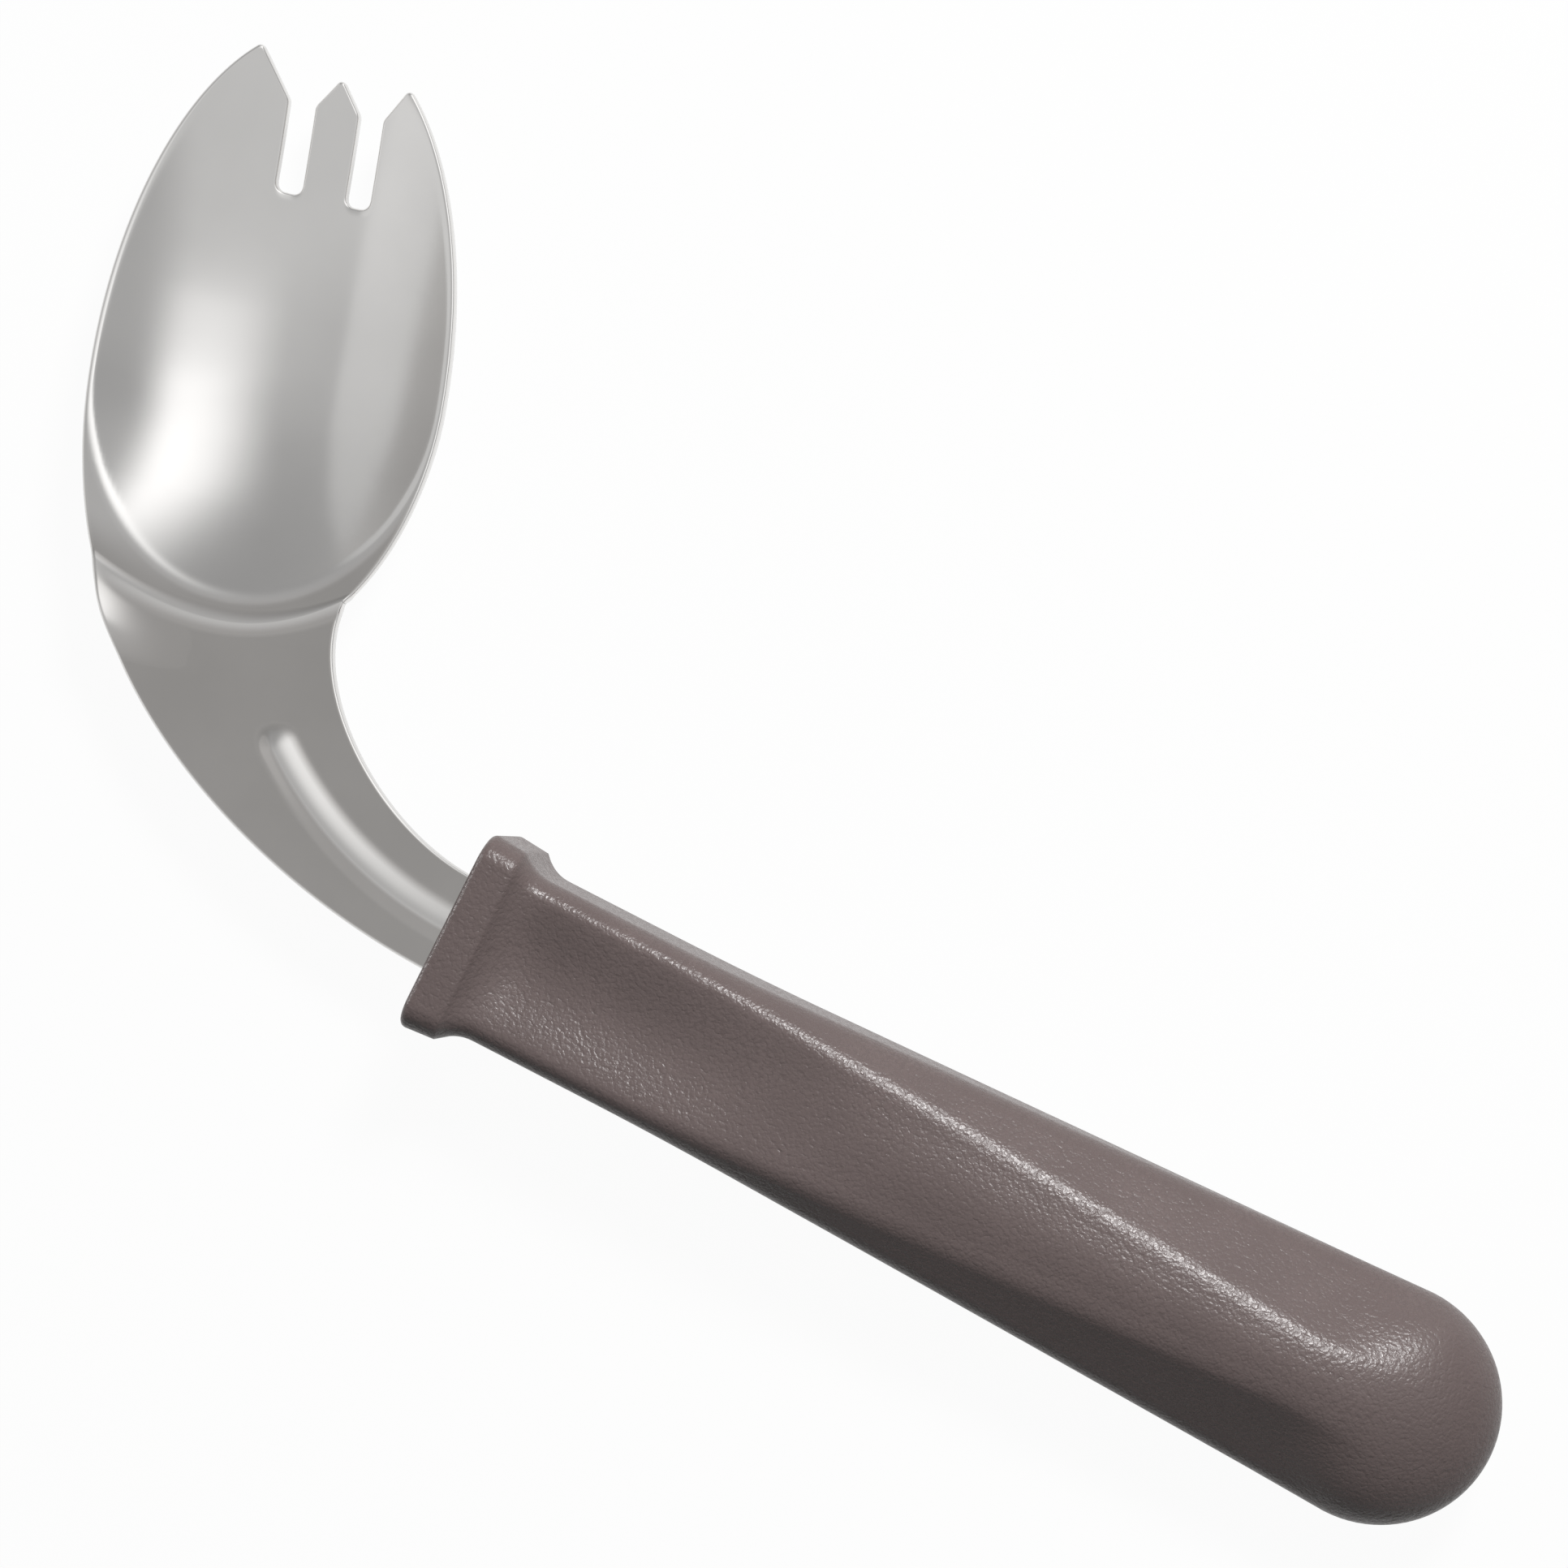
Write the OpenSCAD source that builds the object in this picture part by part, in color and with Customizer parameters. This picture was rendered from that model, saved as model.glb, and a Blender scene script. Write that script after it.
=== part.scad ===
// Angled spork: a stamped steel blade bent sideways, moulded into a thick grip.
// Millimetres. +X runs along the handle to its butt, +Y lies on the side of the bowl, +Z is up.
// The origin is on the table, under the middle of the collar's flat underside.

/* [Handle] */
// Length from the collar's front face to the end of the butt
handle_len = 106; // [95:0.2:125]
// Thickness at the collar and at the butt, where the handle rests
handle_t = 17; // [15.6:0.1:20]
// Width across the butt
butt_w = 22.2; // [20:0.1:26]
// Width of the body just behind the collar
waist_w = 16.3; // [15:0.1:18]
// Thickness of the body just behind the collar
waist_t = 14.4; // [13:0.1:15.4]
// Width of the flat top at the waist
waist_flat_w = 14; // [12:0.1:14.6]
// Width of the flat top where it fades into the butt
butt_flat_w = 6; // [3:0.1:8]
// Dish of the flat top behind the collar, as its depth over half the flat's width
waist_dish = 0.16; // [0:0.01:0.24]
// Crown of the flat top towards the butt, as its height over half the flat's width
butt_crown = 0.12; // [0:0.01:0.2]
// Distance behind the collar's front face where the dish begins to turn into the crown
dish_end = 18; // [12:0.5:30]
// Distance behind the collar's front face where the crown is full
crown_start = 56; // [44:0.5:70]
// Height of the upright side at the waist
waist_side_h = 11.6; // [9:0.1:12.4]
// Height of the upright side at the butt
butt_side_h = 3; // [2:0.1:6]
// Distance behind the collar's front face where the sloping sides set in
taper_start = 26; // [16:0.5:36]
// Length over which the taper sets in softly
taper_soft = 16; // [6:0.5:24]
// Rounding of the ridges beside the flat top
ridge_r = 2.2; // [0.6:0.1:4]
// Rounding of the side edges
side_r = 1.8; // [0.6:0.1:3]
// Length of the domed end, measured along the top
dome_len = 19; // [14:0.5:26]
// Share of the dome's length over which the eight sides fade into an oval
dome_fade = 0.6; // [0.3:0.05:0.9]

/* [Collar] */
// Width of the collar, halfway along its band
collar_w = 19.4; // [18.4:0.1:23]
// How much wider the collar's band is at its front than at its back
collar_flare = 0.6; // [0:0.1:1.2]
// Length of the collar's flat band
collar_len = 3.6; // [2.4:0.1:6]
// Rounding of the collar's front edge
collar_edge_r = 0.8; // [0.3:0.1:1.2]
// Length of the hollow behind the collar on the sides
collar_run_side = 3.2; // [2:0.1:5]
// Length of the hollow behind the collar on the top and underside
collar_run_top = 5; // [3:0.1:8]
// Power of the hollow's curve on the sides, where more is steeper at the collar
collar_steep_side = 2.2; // [1.4:0.1:5]
// Power of the hollow's curve on the top and underside
collar_steep_top = 4; // [1.4:0.1:5]

/* [Blade sheet] */
// Thickness of the steel sheet
sheet_t = 1.4; // [1:0.05:1.8]
// How far the sheet's edge is rounded outwards
sheet_edge = 0.3; // [0.1:0.05:0.5]

/* [Bowl] */
// Angle between the handle's line and the head
head_turn = 73.6; // [60:0.2:86]
// Distance of the bowl's middle ahead of the collar's front face
bowl_ahead = 39; // [36:0.1:44]
// Distance of the bowl's middle beside the handle's line
bowl_aside = 37.4; // [34:0.1:42]
// Width of the bowl across its rim
bowl_w = 33.4; // [30:0.2:37]
// Length of the rim's oval from the widest line forwards
rim_front = 33; // [31:0.2:37]
// Length of the rim's oval backwards on its outer side, where it runs on into the neck
rim_back_outer = 30.7; // [27:0.1:36]
// Length of the rim's oval backwards on its inner side, where it ends in a notch
rim_back_inner = 25; // [23.5:0.1:28]
// Length of the hollow from the widest line backwards
hollow_back = 20.2; // [18:0.1:21.5]
// Distance from the widest line back to where the rim runs into the neck
heel_back = 19.1; // [18:0.1:21]
// How far the heel's crease bows towards the handle
heel_bow = 3.7; // [2:0.1:5]
// Height of the rim above the neck
rim_up = 0.3; // [0.2:0.1:1.6]
// Softness of the edge between hollow and rim
lip_soft = 0.5; // [0.3:0.1:1.6]
// Height of the raised crease across the heel
crease_h = 0.22; // [0:0.02:0.6]
// Length over which the heel rises to the crease on the bowl's side
crease_rise = 0.9; // [0.6:0.1:3]
// Length over which the crease falls off on the neck's side
crease_fall = 2.4; // [0.6:0.1:4]
// Length over which the neck drops away behind the crease
heel_drop = 3; // [0.8:0.1:5]
// Upward curl of the neck's outer edge beside the heel
edge_curl = 1.1; // [0:0.1:1.6]
// Distance from the crease back to the middle of that curl
curl_at = 4.5; // [2:0.5:8]
// Half length of that curl along the neck
curl_len = 5; // [3:0.5:9]

/* [Tines] */
// Width of the slots between the tines
slot_w = 2.45; // [1.8:0.05:3]
// Distance between the two slots
slot_pitch = 6.85; // [5.8:0.05:8]
// Corner radius at the closed end of a slot
slot_r = 0.85; // [0.4:0.05:0.9]
// Distance from the widest line to the closed end of the slots
slot_floor = 17.9; // [14:0.1:20]
// Distance from the widest line to the shoulders of the tines
shoulder_ahead = 26.2; // [24:0.1:27.5]
// Distance from the widest line to the tip of the middle tine
tip_ahead = 29.2; // [27.8:0.1:29.6]
// Slant of the outer tines' inner corners, as rise over run
tip_slant = 1.4; // [0.9:0.05:1.5]
// Sideways shift of the tines on the bowl
tine_shift = -0.1; // [-1.2:0.05:1.2]
// Turn of the tines towards the head's inner side
tine_turn = 3.2; // [-6:0.2:6]
// Rounding of the tines' shoulders
shoulder_r = 1.2; // [0.2:0.1:1.6]
// Rounding of the middle tip
tip_r = 0.5; // [0.2:0.05:0.8]

/* [Neck] */
// Width of the neck where it enters the collar
neck_w = 9.2; // [8:0.1:10.6]
// Reach of the outer edge's curve from the collar
outer_reach = 20.5; // [16:0.1:26]
// Reach of the outer edge's curve from the heel
outer_heel_reach = 12.7; // [9:0.1:17]
// Lean of the outer edge at the heel, against the head's axis
outer_lean = -14; // [-24:0.5:-6]
// Reach of the inner edge's curve from the collar
inner_reach = 10.7; // [7:0.1:13]
// Reach of the inner edge's curve from the heel
inner_heel_reach = 8.6; // [5:0.1:11]
// Lean of the inner edge at the heel, against the head's axis
inner_lean = 17.5; // [5:0.5:30]
// Slant of the inner edge where it leaves the collar
inner_slant = -1.5; // [-10:0.5:4]

/* [Stiffening bead] */
// Width of the bead pressed up along the neck
bead_w = 4.2; // [2.2:0.1:5]
// Height of the bead
bead_h = 0.45; // [0.3:0.05:1.3]
// Radius of the bead's curve
bead_r = 37.4; // [32:0.2:44]
// Angle of the bead's curve ahead of the collar
bead_sweep = 37; // [24:0.5:42]
// How far the bead runs into the handle
bead_inside = 6; // [2:0.5:12]

/* [Tang] */
// Length of the tang inside the handle
tang_len = 58; // [48:0.5:75]
// Width of the tang near its end
tang_end_w = 7; // [6:0.1:9]
// Chamfer on the corners of the tang's end
tang_chamfer = 1.6; // [0.6:0.1:2.4]
// Diameter of the lock holes that the moulding fills
lock_d = 3.6; // [2.4:0.1:4.4]
// Distance of the first lock hole behind the collar's front face
lock_first = 22; // [16:0.5:26]
// Distance of the last lock hole from the tang's end
lock_end = 16; // [8:0.5:18]
// Clearance of the tang in the moulding
fit_gap = 0.05; // [0.02:0.01:0.2]

/* [Hidden] */
steel = [0.76, 0.75, 0.73];
taupe = [0.40, 0.36, 0.35];
// How far a cutter runs past the face that it opens
over = 1;
// Height of the handle's axis and of the tang's middle above the table
axis_z = handle_t / 2;
// The collar's front face lies ahead of the origin
front_x = -(collar_edge_r + collar_len) / 2;
tang_top = axis_z + sheet_t / 2;
rim_z = tang_top + rim_up;
// The bowl is as deep as the table allows, so that it rests beside the collar and the butt
bowl_depth = rim_z - sheet_t;
// The sheet is pressed past the middle tip and cut back to the tines
trim_ahead = 2.6;
front_ahead = tip_ahead + trim_ahead;
// Where the rows of the sheet stop bowing with the heel
bow_end = 5;
head_dir = [-cos(head_turn), sin(head_turn)];
head_side = [sin(head_turn), cos(head_turn)];
bowl_mid = [front_x - bowl_ahead, bowl_aside];
// Counts of the sheet's rows and columns
bowl_rows = 30;
neck_rows = 32;
tang_rows = 4;
sheet_cols = 28;
// Counts of the handle's rings and of the points on each rounded edge
body_rings = 18;
dome_rings = 11;
edge_rings = 4;
// How strongly the hollow's rings crowd together at the collar
ring_crowd = 1.6;
edge_pts = 4;
run_pts = 3;
// Count of the points on each half of the bead's groove
groove_pts = 8;

function unit(v) = v / norm(v);
function mix(a, b, t) = a + (b - a) * t;
function clamp01(t) = max(0, min(1, t));
function smooth(t) = let (u = clamp01(t)) u * u * (3 - 2 * u);
// A hump of height 1 and half width 1 that starts and ends without a kink
function hump(t) = abs(t) < 1 ? pow(1 - t * t, 2) : 0;
// The lower of two heights, with a soft edge of size k between them
function soft_min(p, q, k) = min(p, q) - pow(max(k - abs(p - q), 0), 2) / (4 * k);
// A ramp of slope 1 that sets in softly around zero
function soft_ramp(t, soft) =
    t < -soft / 2 ? 0 : t > soft / 2 ? t : pow(t + soft / 2, 2) / (2 * soft);
function bezier(p, t) =
    pow(1 - t, 3) * p[0] + 3 * t * pow(1 - t, 2) * p[1] + 3 * t * t * (1 - t) * p[2] + pow(t, 3) * p[3];

// Rounded corner at p between its neighbours, for a turn to either side
function corner(p, before, after, r) =
    let (
        d1 = unit(before - p),
        d2 = unit(after - p),
        angle = acos(d1 * d2),
        reach = min(r / tan(angle / 2), 0.48 * norm(before - p), 0.48 * norm(after - p)),
        real_r = reach * tan(angle / 2),
        mid = p + unit(d1 + d2) * real_r / sin(angle / 2),
        from = p + d1 * reach - mid,
        start = atan2(from[1], from[0]),
        sweep = cross(p - before, after - p) > 0 ? 180 - angle : angle - 180
    )
    [for (k = [0:edge_pts])
        let (at = start + sweep * k / edge_pts)
        mid + real_r * [cos(at), sin(at)]
    ];

// Plan of the bowl: a lies along the head towards the tips, b across it
function head_point(a, b) = bowl_mid + a * head_dir + b * head_side;
// The side is negative on the outer rim and positive on the inner one
function rim_reach(a, side) = a > 0 ? rim_front : side < 0 ? rim_back_outer : rim_back_inner;
function rim_half(a, side) = bowl_w / 2 * sqrt(max(0, 1 - pow(a / rim_reach(a, side), 2)));
function row_bow(a) = heel_bow * pow(max(0, bow_end - a) / (bow_end + heel_back), 2);

// Plan of the neck: two curved edges from the heel to the collar
heel_outer = head_point(-heel_back, -rim_half(-heel_back, -1));
heel_inner = head_point(-heel_back, rim_half(-heel_back, 1));
function turned(angle) = [-cos(angle), sin(angle)];
collar_outer = [front_x, -neck_w / 2];
collar_inner = [front_x, neck_w / 2];
outer_edge = [
    heel_outer,
    heel_outer - outer_heel_reach * turned(head_turn + outer_lean),
    collar_outer + outer_reach * turned(0),
    collar_outer
];
inner_edge = [
    heel_inner,
    heel_inner - inner_heel_reach * turned(head_turn + inner_lean),
    collar_inner + inner_reach * turned(inner_slant),
    collar_inner
];
neck_len = norm(bezier(outer_edge, 0.5) + bezier(inner_edge, 0.5) - heel_outer - heel_inner) / 2
    + norm(bezier(outer_edge, 0.5) + bezier(inner_edge, 0.5) - collar_outer - collar_inner) / 2;

function bowl_plan(a, s) = head_point(a - row_bow(a) * (1 - s * s), s * rim_half(a, s));
// The bowl's middle line runs on through the neck to the middle of the tang
heel_share = rim_half(-heel_back, -1) / (rim_half(-heel_back, -1) + rim_half(-heel_back, 1));
function neck_plan(t, s) =
    let (
        outer = bezier(outer_edge, t),
        inner = bezier(inner_edge, t),
        middle = mix(heel_share, 0.5, t),
        share = s < 0 ? (1 + s) * middle : mix(middle, 1, s)
    )
    mix(outer, inner, share) - heel_bow * pow(1 - t, 4) * (1 - s * s) * head_dir;
function tang_half(u) =
    mix(neck_w, tang_end_w, clamp01(u / (tang_len - tang_chamfer))) / 2
    - max(0, u - tang_len + tang_chamfer);
function tang_plan(u, s) = [front_x + u, s * tang_half(u)];

// Height of the pressed sheet's upper side
function hollow_reach(a) = a > 0 ? rim_front : hollow_back;
function hollow_z(a, b) =
    rim_z - bowl_depth * (1 - pow(a / hollow_reach(a), 2) - pow(2 * b / bowl_w, 2));
function curl(d, s) = edge_curl * hump((d - curl_at) / curl_len) * pow(max(0, -s), 5);
// Flat of the rim and neck, at a distance d behind the heel's crease
function flat_z(d, s) =
    let (crease = crease_h * hump(d / (d < 0 ? crease_rise : crease_fall)))
    rim_z - rim_up * smooth(d / heel_drop) + crease + curl(d, s);
// Distance of a point in plan from the bead's centre line
function bead_dist(p) =
    let (
        q = p - [front_x, bead_r],
        around = atan2(-q[0], -q[1]),
        tip = [-sin(bead_sweep), -cos(bead_sweep)] * bead_r
    )
    q[0] > bead_inside ? norm([q[0] - bead_inside, p[1]])
    : q[0] > 0 ? abs(p[1])
    : around > bead_sweep ? norm(q - tip)
    : abs(norm(q) - bead_r);
function bead_z(p) = bead_h * hump(bead_dist(p) / (bead_w / 2));

function bowl_point(a, s) =
    let (
        p = bowl_plan(a, s),
        along = (p - bowl_mid) * head_dir,
        across = (p - bowl_mid) * head_side
    )
    [p[0], p[1], soft_min(hollow_z(along, across), flat_z(-heel_back - a, s), lip_soft)];
function neck_point(t, s) =
    let (p = neck_plan(t, s))
    [p[0], p[1], flat_z(t * neck_len, s) + bead_z(p)];
function tang_point(u, s) =
    let (p = tang_plan(u, s))
    [p[0], p[1], tang_top + bead_z(p)];

// Rows crowd together at the heel, columns at the edges
sheet_s = [for (j = [0:sheet_cols]) let (u = 2 * j / sheet_cols - 1) (u + sin(90 * u)) / 2];
bowl_a = [for (i = [0:bowl_rows]) mix(-heel_back, front_ahead, pow(1 - i / bowl_rows, 1.8))];
neck_t = [for (i = [1:neck_rows]) pow(i / neck_rows, 1.7)];
tang_u = concat(
    [for (i = [1:tang_rows]) (bead_inside + bead_w / 2) * i / tang_rows],
    [lock_first, tang_len - tang_chamfer, tang_len]
);
sheet_top = concat(
    [for (a = bowl_a) [for (s = sheet_s) bowl_point(a, s)]],
    [for (t = neck_t) [for (s = sheet_s) neck_point(t, s)]],
    [for (u = tang_u) [for (s = sheet_s) tang_point(u, s)]]
);

// A closed sheet below a grid of points, with its edge cut upright and rounded outwards
module pressed_sheet(top, t, edge) {
    rows = len(top) - 1;
    cols = len(top[0]) - 1;
    normals = [for (i = [0:rows]) [for (j = [0:cols]) unit(cross(
        top[min(i + 1, rows)][j] - top[max(i - 1, 0)][j],
        top[i][min(j + 1, cols)] - top[i][max(j - 1, 0)]
    ))]];
    // The thickness is measured square to the slope, so a steep place reaches further down
    under = [for (i = [0:rows]) [for (j = [0:cols]) top[i][j] - [0, 0, t / normals[i][j][2]]]];
    // The edge, once round the sheet, each place with its next place inwards
    rim = concat(
        [for (i = [0:rows - 1]) [i, 0, i, 1]],
        [for (j = [0:cols - 1]) [rows, j, rows - 1, j]],
        [for (i = [rows:-1:1]) [i, cols, i, cols - 1]],
        [for (j = [cols:-1:1]) [0, j, 1, j]]
    );
    count = (rows + 1) * (cols + 1);
    laps = len(rim);
    middle = [for (r = rim)
        let (outwards = top[r[0]][r[1]] - top[r[2]][r[3]])
        (top[r[0]][r[1]] + under[r[0]][r[1]]) / 2 + edge * unit([outwards[0], outwards[1], 0])
    ];
    points = concat(
        [for (row = top) each row],
        [for (row = under) each row],
        middle
    );
    function up(i, j) = i * (cols + 1) + j;
    function down(i, j) = count + up(i, j);
    function rim_up_at(k) = up(rim[k][0], rim[k][1]);
    function rim_down_at(k) = down(rim[k][0], rim[k][1]);
    faces = concat(
        [for (i = [0:rows - 1], j = [0:cols - 1]) each [
            [up(i, j), up(i, j + 1), up(i + 1, j + 1)],
            [up(i, j), up(i + 1, j + 1), up(i + 1, j)],
            [down(i, j), down(i + 1, j + 1), down(i, j + 1)],
            [down(i, j), down(i + 1, j), down(i + 1, j + 1)]
        ]],
        [for (k = [0:laps - 1]) let (n = (k + 1) % laps, m = 2 * count) each [
            [rim_up_at(k), rim_up_at(n), m + n],
            [rim_up_at(k), m + n, m + k],
            [m + k, m + n, rim_down_at(n)],
            [m + k, rim_down_at(n), rim_down_at(k)]
        ]]
    );
    polyhedron(points, faces, convexity = 10);
}

// Walk round a slot at b, from the shoulder on its one side over the closed end to the other shoulder
function slot_walk(b) =
    let (half = slot_w / 2)
    [
        [shoulder_ahead, b - half],
        [slot_floor, b - half],
        [slot_floor, b + half],
        [shoulder_ahead, b + half]
    ];

// All that is cut away between the tines and ahead of them
module tine_outline() {
    far = front_ahead + bowl_depth;
    side = (slot_pitch + slot_w) / 2 + (far - shoulder_ahead) / tip_slant;
    walk = concat(
        [[far, -side]],
        slot_walk(-slot_pitch / 2),
        [[tip_ahead, 0]],
        slot_walk(slot_pitch / 2),
        [[far, side]]
    );
    slot_radii = [shoulder_r, slot_r, slot_r, shoulder_r];
    radii = concat(slot_radii, [tip_r], slot_radii);
    rounds = [for (k = [1:len(radii)]) each corner(walk[k], walk[k - 1], walk[k + 1], radii[k - 1])];
    polygon(concat([walk[0]], rounds, [walk[len(walk) - 1]]));
}

// Cutter for the tines, in the head's own axes
module tine_cutter() {
    translate([bowl_mid[0], bowl_mid[1], -over])
        rotate(180 - head_turn - tine_turn)
            translate([0, -tine_shift])
                linear_extrude(rim_z + 2 * over) tine_outline();
}

module lock_places() {
    for (u = [lock_first, tang_len - lock_end])
        translate([front_x + u, 0, 0]) children();
}

// Stamped steel: bowl with tines, curved neck with its bead, and the tang in the handle
module spork_blade() {
    color(steel)
        difference() {
            pressed_sheet(sheet_top, sheet_t, sheet_edge);
            tine_cutter();
            lock_places() cylinder(d = lock_d, h = handle_t, $fn = 48);
        }
}

// Places on the straight run between two rounded corners
function run_between(p, q) = [for (k = [1:run_pts]) mix(p, q, k / (run_pts + 1))];

// Eight-sided section: flat top and underside, upright sides, sloping faces between
function section(half_w, half_t, flat, side, r_ridge, r_side) =
    let (
        pts = [
            [half_w, -side], [half_w, side], [flat, half_t], [-flat, half_t],
            [-half_w, side], [-half_w, -side], [-flat, -half_t], [flat, -half_t]
        ],
        radii = [r_side, r_side, r_ridge, r_ridge, r_side, r_side, r_ridge, r_ridge]
    )
    let (rounds = [for (k = [0:7]) corner(pts[k], pts[(k + 7) % 8], pts[(k + 1) % 8], radii[k])])
    [for (k = [0:7]) each concat(rounds[k], run_between(rounds[k][edge_pts], rounds[(k + 1) % 8][0]))];

// Sizes of the body at a distance u behind the collar's front face
dome_mid = handle_len - butt_w / 2;
dome_top = handle_len - dome_len;
body_front = collar_len + max(collar_run_side, collar_run_top);
function ramp(u, end) = soft_ramp(u - taper_start, taper_soft) / (end - taper_start);
function rounded(u, from) = u > from ? sqrt(max(0, 1 - pow((u - from) / (handle_len - from), 2))) : 1;
// The collar's band narrows from its front to its back
function band_w(u) = collar_w + collar_flare * (0.5 - clamp01(u / collar_len));
// How far the hollow behind the collar has come down to the body
function hollow_share(u, run, steep) = 1 - pow(1 - clamp01((u - collar_len) / run), steep);
function body_w(u) = mix(waist_w, butt_w, ramp(min(u, dome_mid), dome_mid));
function body_t(u) = mix(waist_t, handle_t, clamp01((u - body_front) / (dome_top - body_front)));
// Shares of the width and thickness that are flat
function flat_share(u) = mix(waist_flat_w, butt_flat_w, ramp(min(u, dome_top), dome_top)) / body_w(u);
function side_share(u) = mix(waist_side_h, butt_side_h, ramp(min(u, dome_top), dome_top)) / body_t(u);
// Bow of the flat top over half its width: a dish behind the collar, a crown towards the butt
function top_bow(u) =
    mix(-waist_dish, butt_crown, smooth((u - dish_end) / (crown_start - dish_end)))
    * smooth((u - collar_len) / collar_run_top);
// One ring round the handle, drawn in by an inset on the collar's rounded front edge
function ring(u, inset = 0) =
    let (
        full_w = mix(band_w(u), body_w(u), hollow_share(u, collar_run_side, collar_steep_side)),
        full_t = mix(handle_t, body_t(u), hollow_share(u, collar_run_top, collar_steep_top)),
        half_w = full_w / 2 * rounded(u, dome_mid) - inset,
        half_t = full_t / 2 * rounded(u, dome_top) - inset,
        // On the dome the eight sides fade into an oval
        fade = smooth((u - dome_top) / (dome_fade * dome_len)),
        flat = half_w * flat_share(u),
        bow = flat * top_bow(u),
        pts = section(half_w, half_t - max(0, bow), flat, half_t * side_share(u), ridge_r, side_r)
    )
    [for (p = pts)
        let (
            z = p[1] + sign(p[1]) * bow * hump(p[0] / flat),
            k = mix(1, 1 / norm([p[0] / half_w, z / half_t]), fade)
        )
        [front_x + u, k * p[0], axis_z + k * z]
    ];

handle_rings = concat(
    [for (i = [0:edge_rings])
        let (a = 90 * i / edge_rings)
        ring(collar_edge_r * (1 - cos(a)), collar_edge_r * (1 - sin(a)))
    ],
    [for (i = [0:2 * edge_rings]) ring(mix(collar_len, body_front, pow(i / (2 * edge_rings), ring_crowd)))],
    [for (i = [1:body_rings]) ring(mix(body_front, dome_top, i / body_rings))],
    [for (i = [1:dome_rings]) ring(dome_top + dome_len * sin(84 * i / dome_rings))]
);

// The moulding's outside: rings joined along the handle, closed by the front face and the end point
module moulded_body() {
    rings = handle_rings;
    n = len(rings[0]);
    last = len(rings) - 1;
    points = concat([for (r = rings) each r], [[front_x + handle_len, 0, axis_z]]);
    faces = concat(
        [[for (k = [0:n - 1]) k]],
        [for (i = [0:last - 1], k = [0:n - 1]) let (m = (k + 1) % n) each [
            [i * n + k, (i + 1) * n + k, (i + 1) * n + m],
            [i * n + k, (i + 1) * n + m, i * n + m]
        ]],
        [for (k = [0:n - 1]) [last * n + k, (last + 1) * n, last * n + (k + 1) % n]]
    );
    polyhedron(points, faces, convexity = 4);
}

// Space that the tang takes up in the moulding, with the keys through its lock holes left standing
module tang_space() {
    grow = sheet_edge + fit_gap;
    ends = [
        [front_x - over, neck_w / 2 + grow],
        [front_x, neck_w / 2 + grow],
        [front_x + tang_len - tang_chamfer + grow, tang_half(tang_len - tang_chamfer) + grow],
        [front_x + tang_len + grow, tang_half(tang_len) + grow]
    ];
    translate([0, 0, axis_z - sheet_t / 2 - fit_gap])
        difference() {
            linear_extrude(sheet_t + 2 * fit_gap)
                polygon(concat(ends, [for (i = [len(ends) - 1:-1:0]) [ends[i][0], -ends[i][1]]]));
            lock_places()
                translate([0, 0, -over])
                    cylinder(d = lock_d - 2 * fit_gap, h = sheet_t + 2 * fit_gap + 2 * over, $fn = 48);
        }
    bead_groove();
}

// Groove in the moulding for the bead, with the bead's own section
module bead_groove() {
    half = bead_w / 2 + fit_gap;
    arch = [for (k = [groove_pts:-1:-groove_pts])
        let (y = half * k / groove_pts)
        [y, sheet_t / 2 + bead_h * hump(y / half) + fit_gap]
    ];
    translate([front_x - over, 0, axis_z])
        rotate([90, 0, 90])
            linear_extrude(over + bead_inside + half)
                polygon(concat([[-half, 0], [half, 0]], arch));
}

// Moulded grip with its collar
module handle() {
    color(taupe)
        difference() {
            moulded_body();
            tang_space();
        }
}

spork_blade();
handle();
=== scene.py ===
import math

import bpy
import numpy as np
from bpy.props import FloatProperty, FloatVectorProperty, PointerProperty
from mathutils import Matrix, Vector


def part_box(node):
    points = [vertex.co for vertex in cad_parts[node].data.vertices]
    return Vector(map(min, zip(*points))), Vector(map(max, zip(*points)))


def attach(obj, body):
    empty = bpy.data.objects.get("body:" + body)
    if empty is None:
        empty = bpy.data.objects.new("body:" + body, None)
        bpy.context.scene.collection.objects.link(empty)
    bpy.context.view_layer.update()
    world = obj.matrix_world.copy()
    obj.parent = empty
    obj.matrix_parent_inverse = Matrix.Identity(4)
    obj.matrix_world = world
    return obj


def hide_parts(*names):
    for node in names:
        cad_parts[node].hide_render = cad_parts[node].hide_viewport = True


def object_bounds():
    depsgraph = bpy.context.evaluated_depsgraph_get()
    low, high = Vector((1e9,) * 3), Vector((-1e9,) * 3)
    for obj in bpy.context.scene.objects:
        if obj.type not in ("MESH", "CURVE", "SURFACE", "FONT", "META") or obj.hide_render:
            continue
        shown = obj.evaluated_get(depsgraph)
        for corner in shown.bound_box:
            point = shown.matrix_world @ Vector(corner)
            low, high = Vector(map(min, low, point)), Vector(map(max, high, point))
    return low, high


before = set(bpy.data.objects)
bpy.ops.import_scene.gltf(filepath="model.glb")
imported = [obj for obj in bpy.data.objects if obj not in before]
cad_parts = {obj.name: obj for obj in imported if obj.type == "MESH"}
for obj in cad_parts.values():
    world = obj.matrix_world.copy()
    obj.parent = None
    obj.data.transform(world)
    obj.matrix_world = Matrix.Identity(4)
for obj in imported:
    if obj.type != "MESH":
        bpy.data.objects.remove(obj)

bl_info = {
    "name": "Angled spork",
    "version": (1, 0, 0),
    "blender": (4, 5, 0),
    "location": "3D View > Sidebar > Spork",
    "description": "Builds the pressed blade, the moulded grip and the studio of an angled spork",
    "category": "Add Mesh",
}

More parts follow.
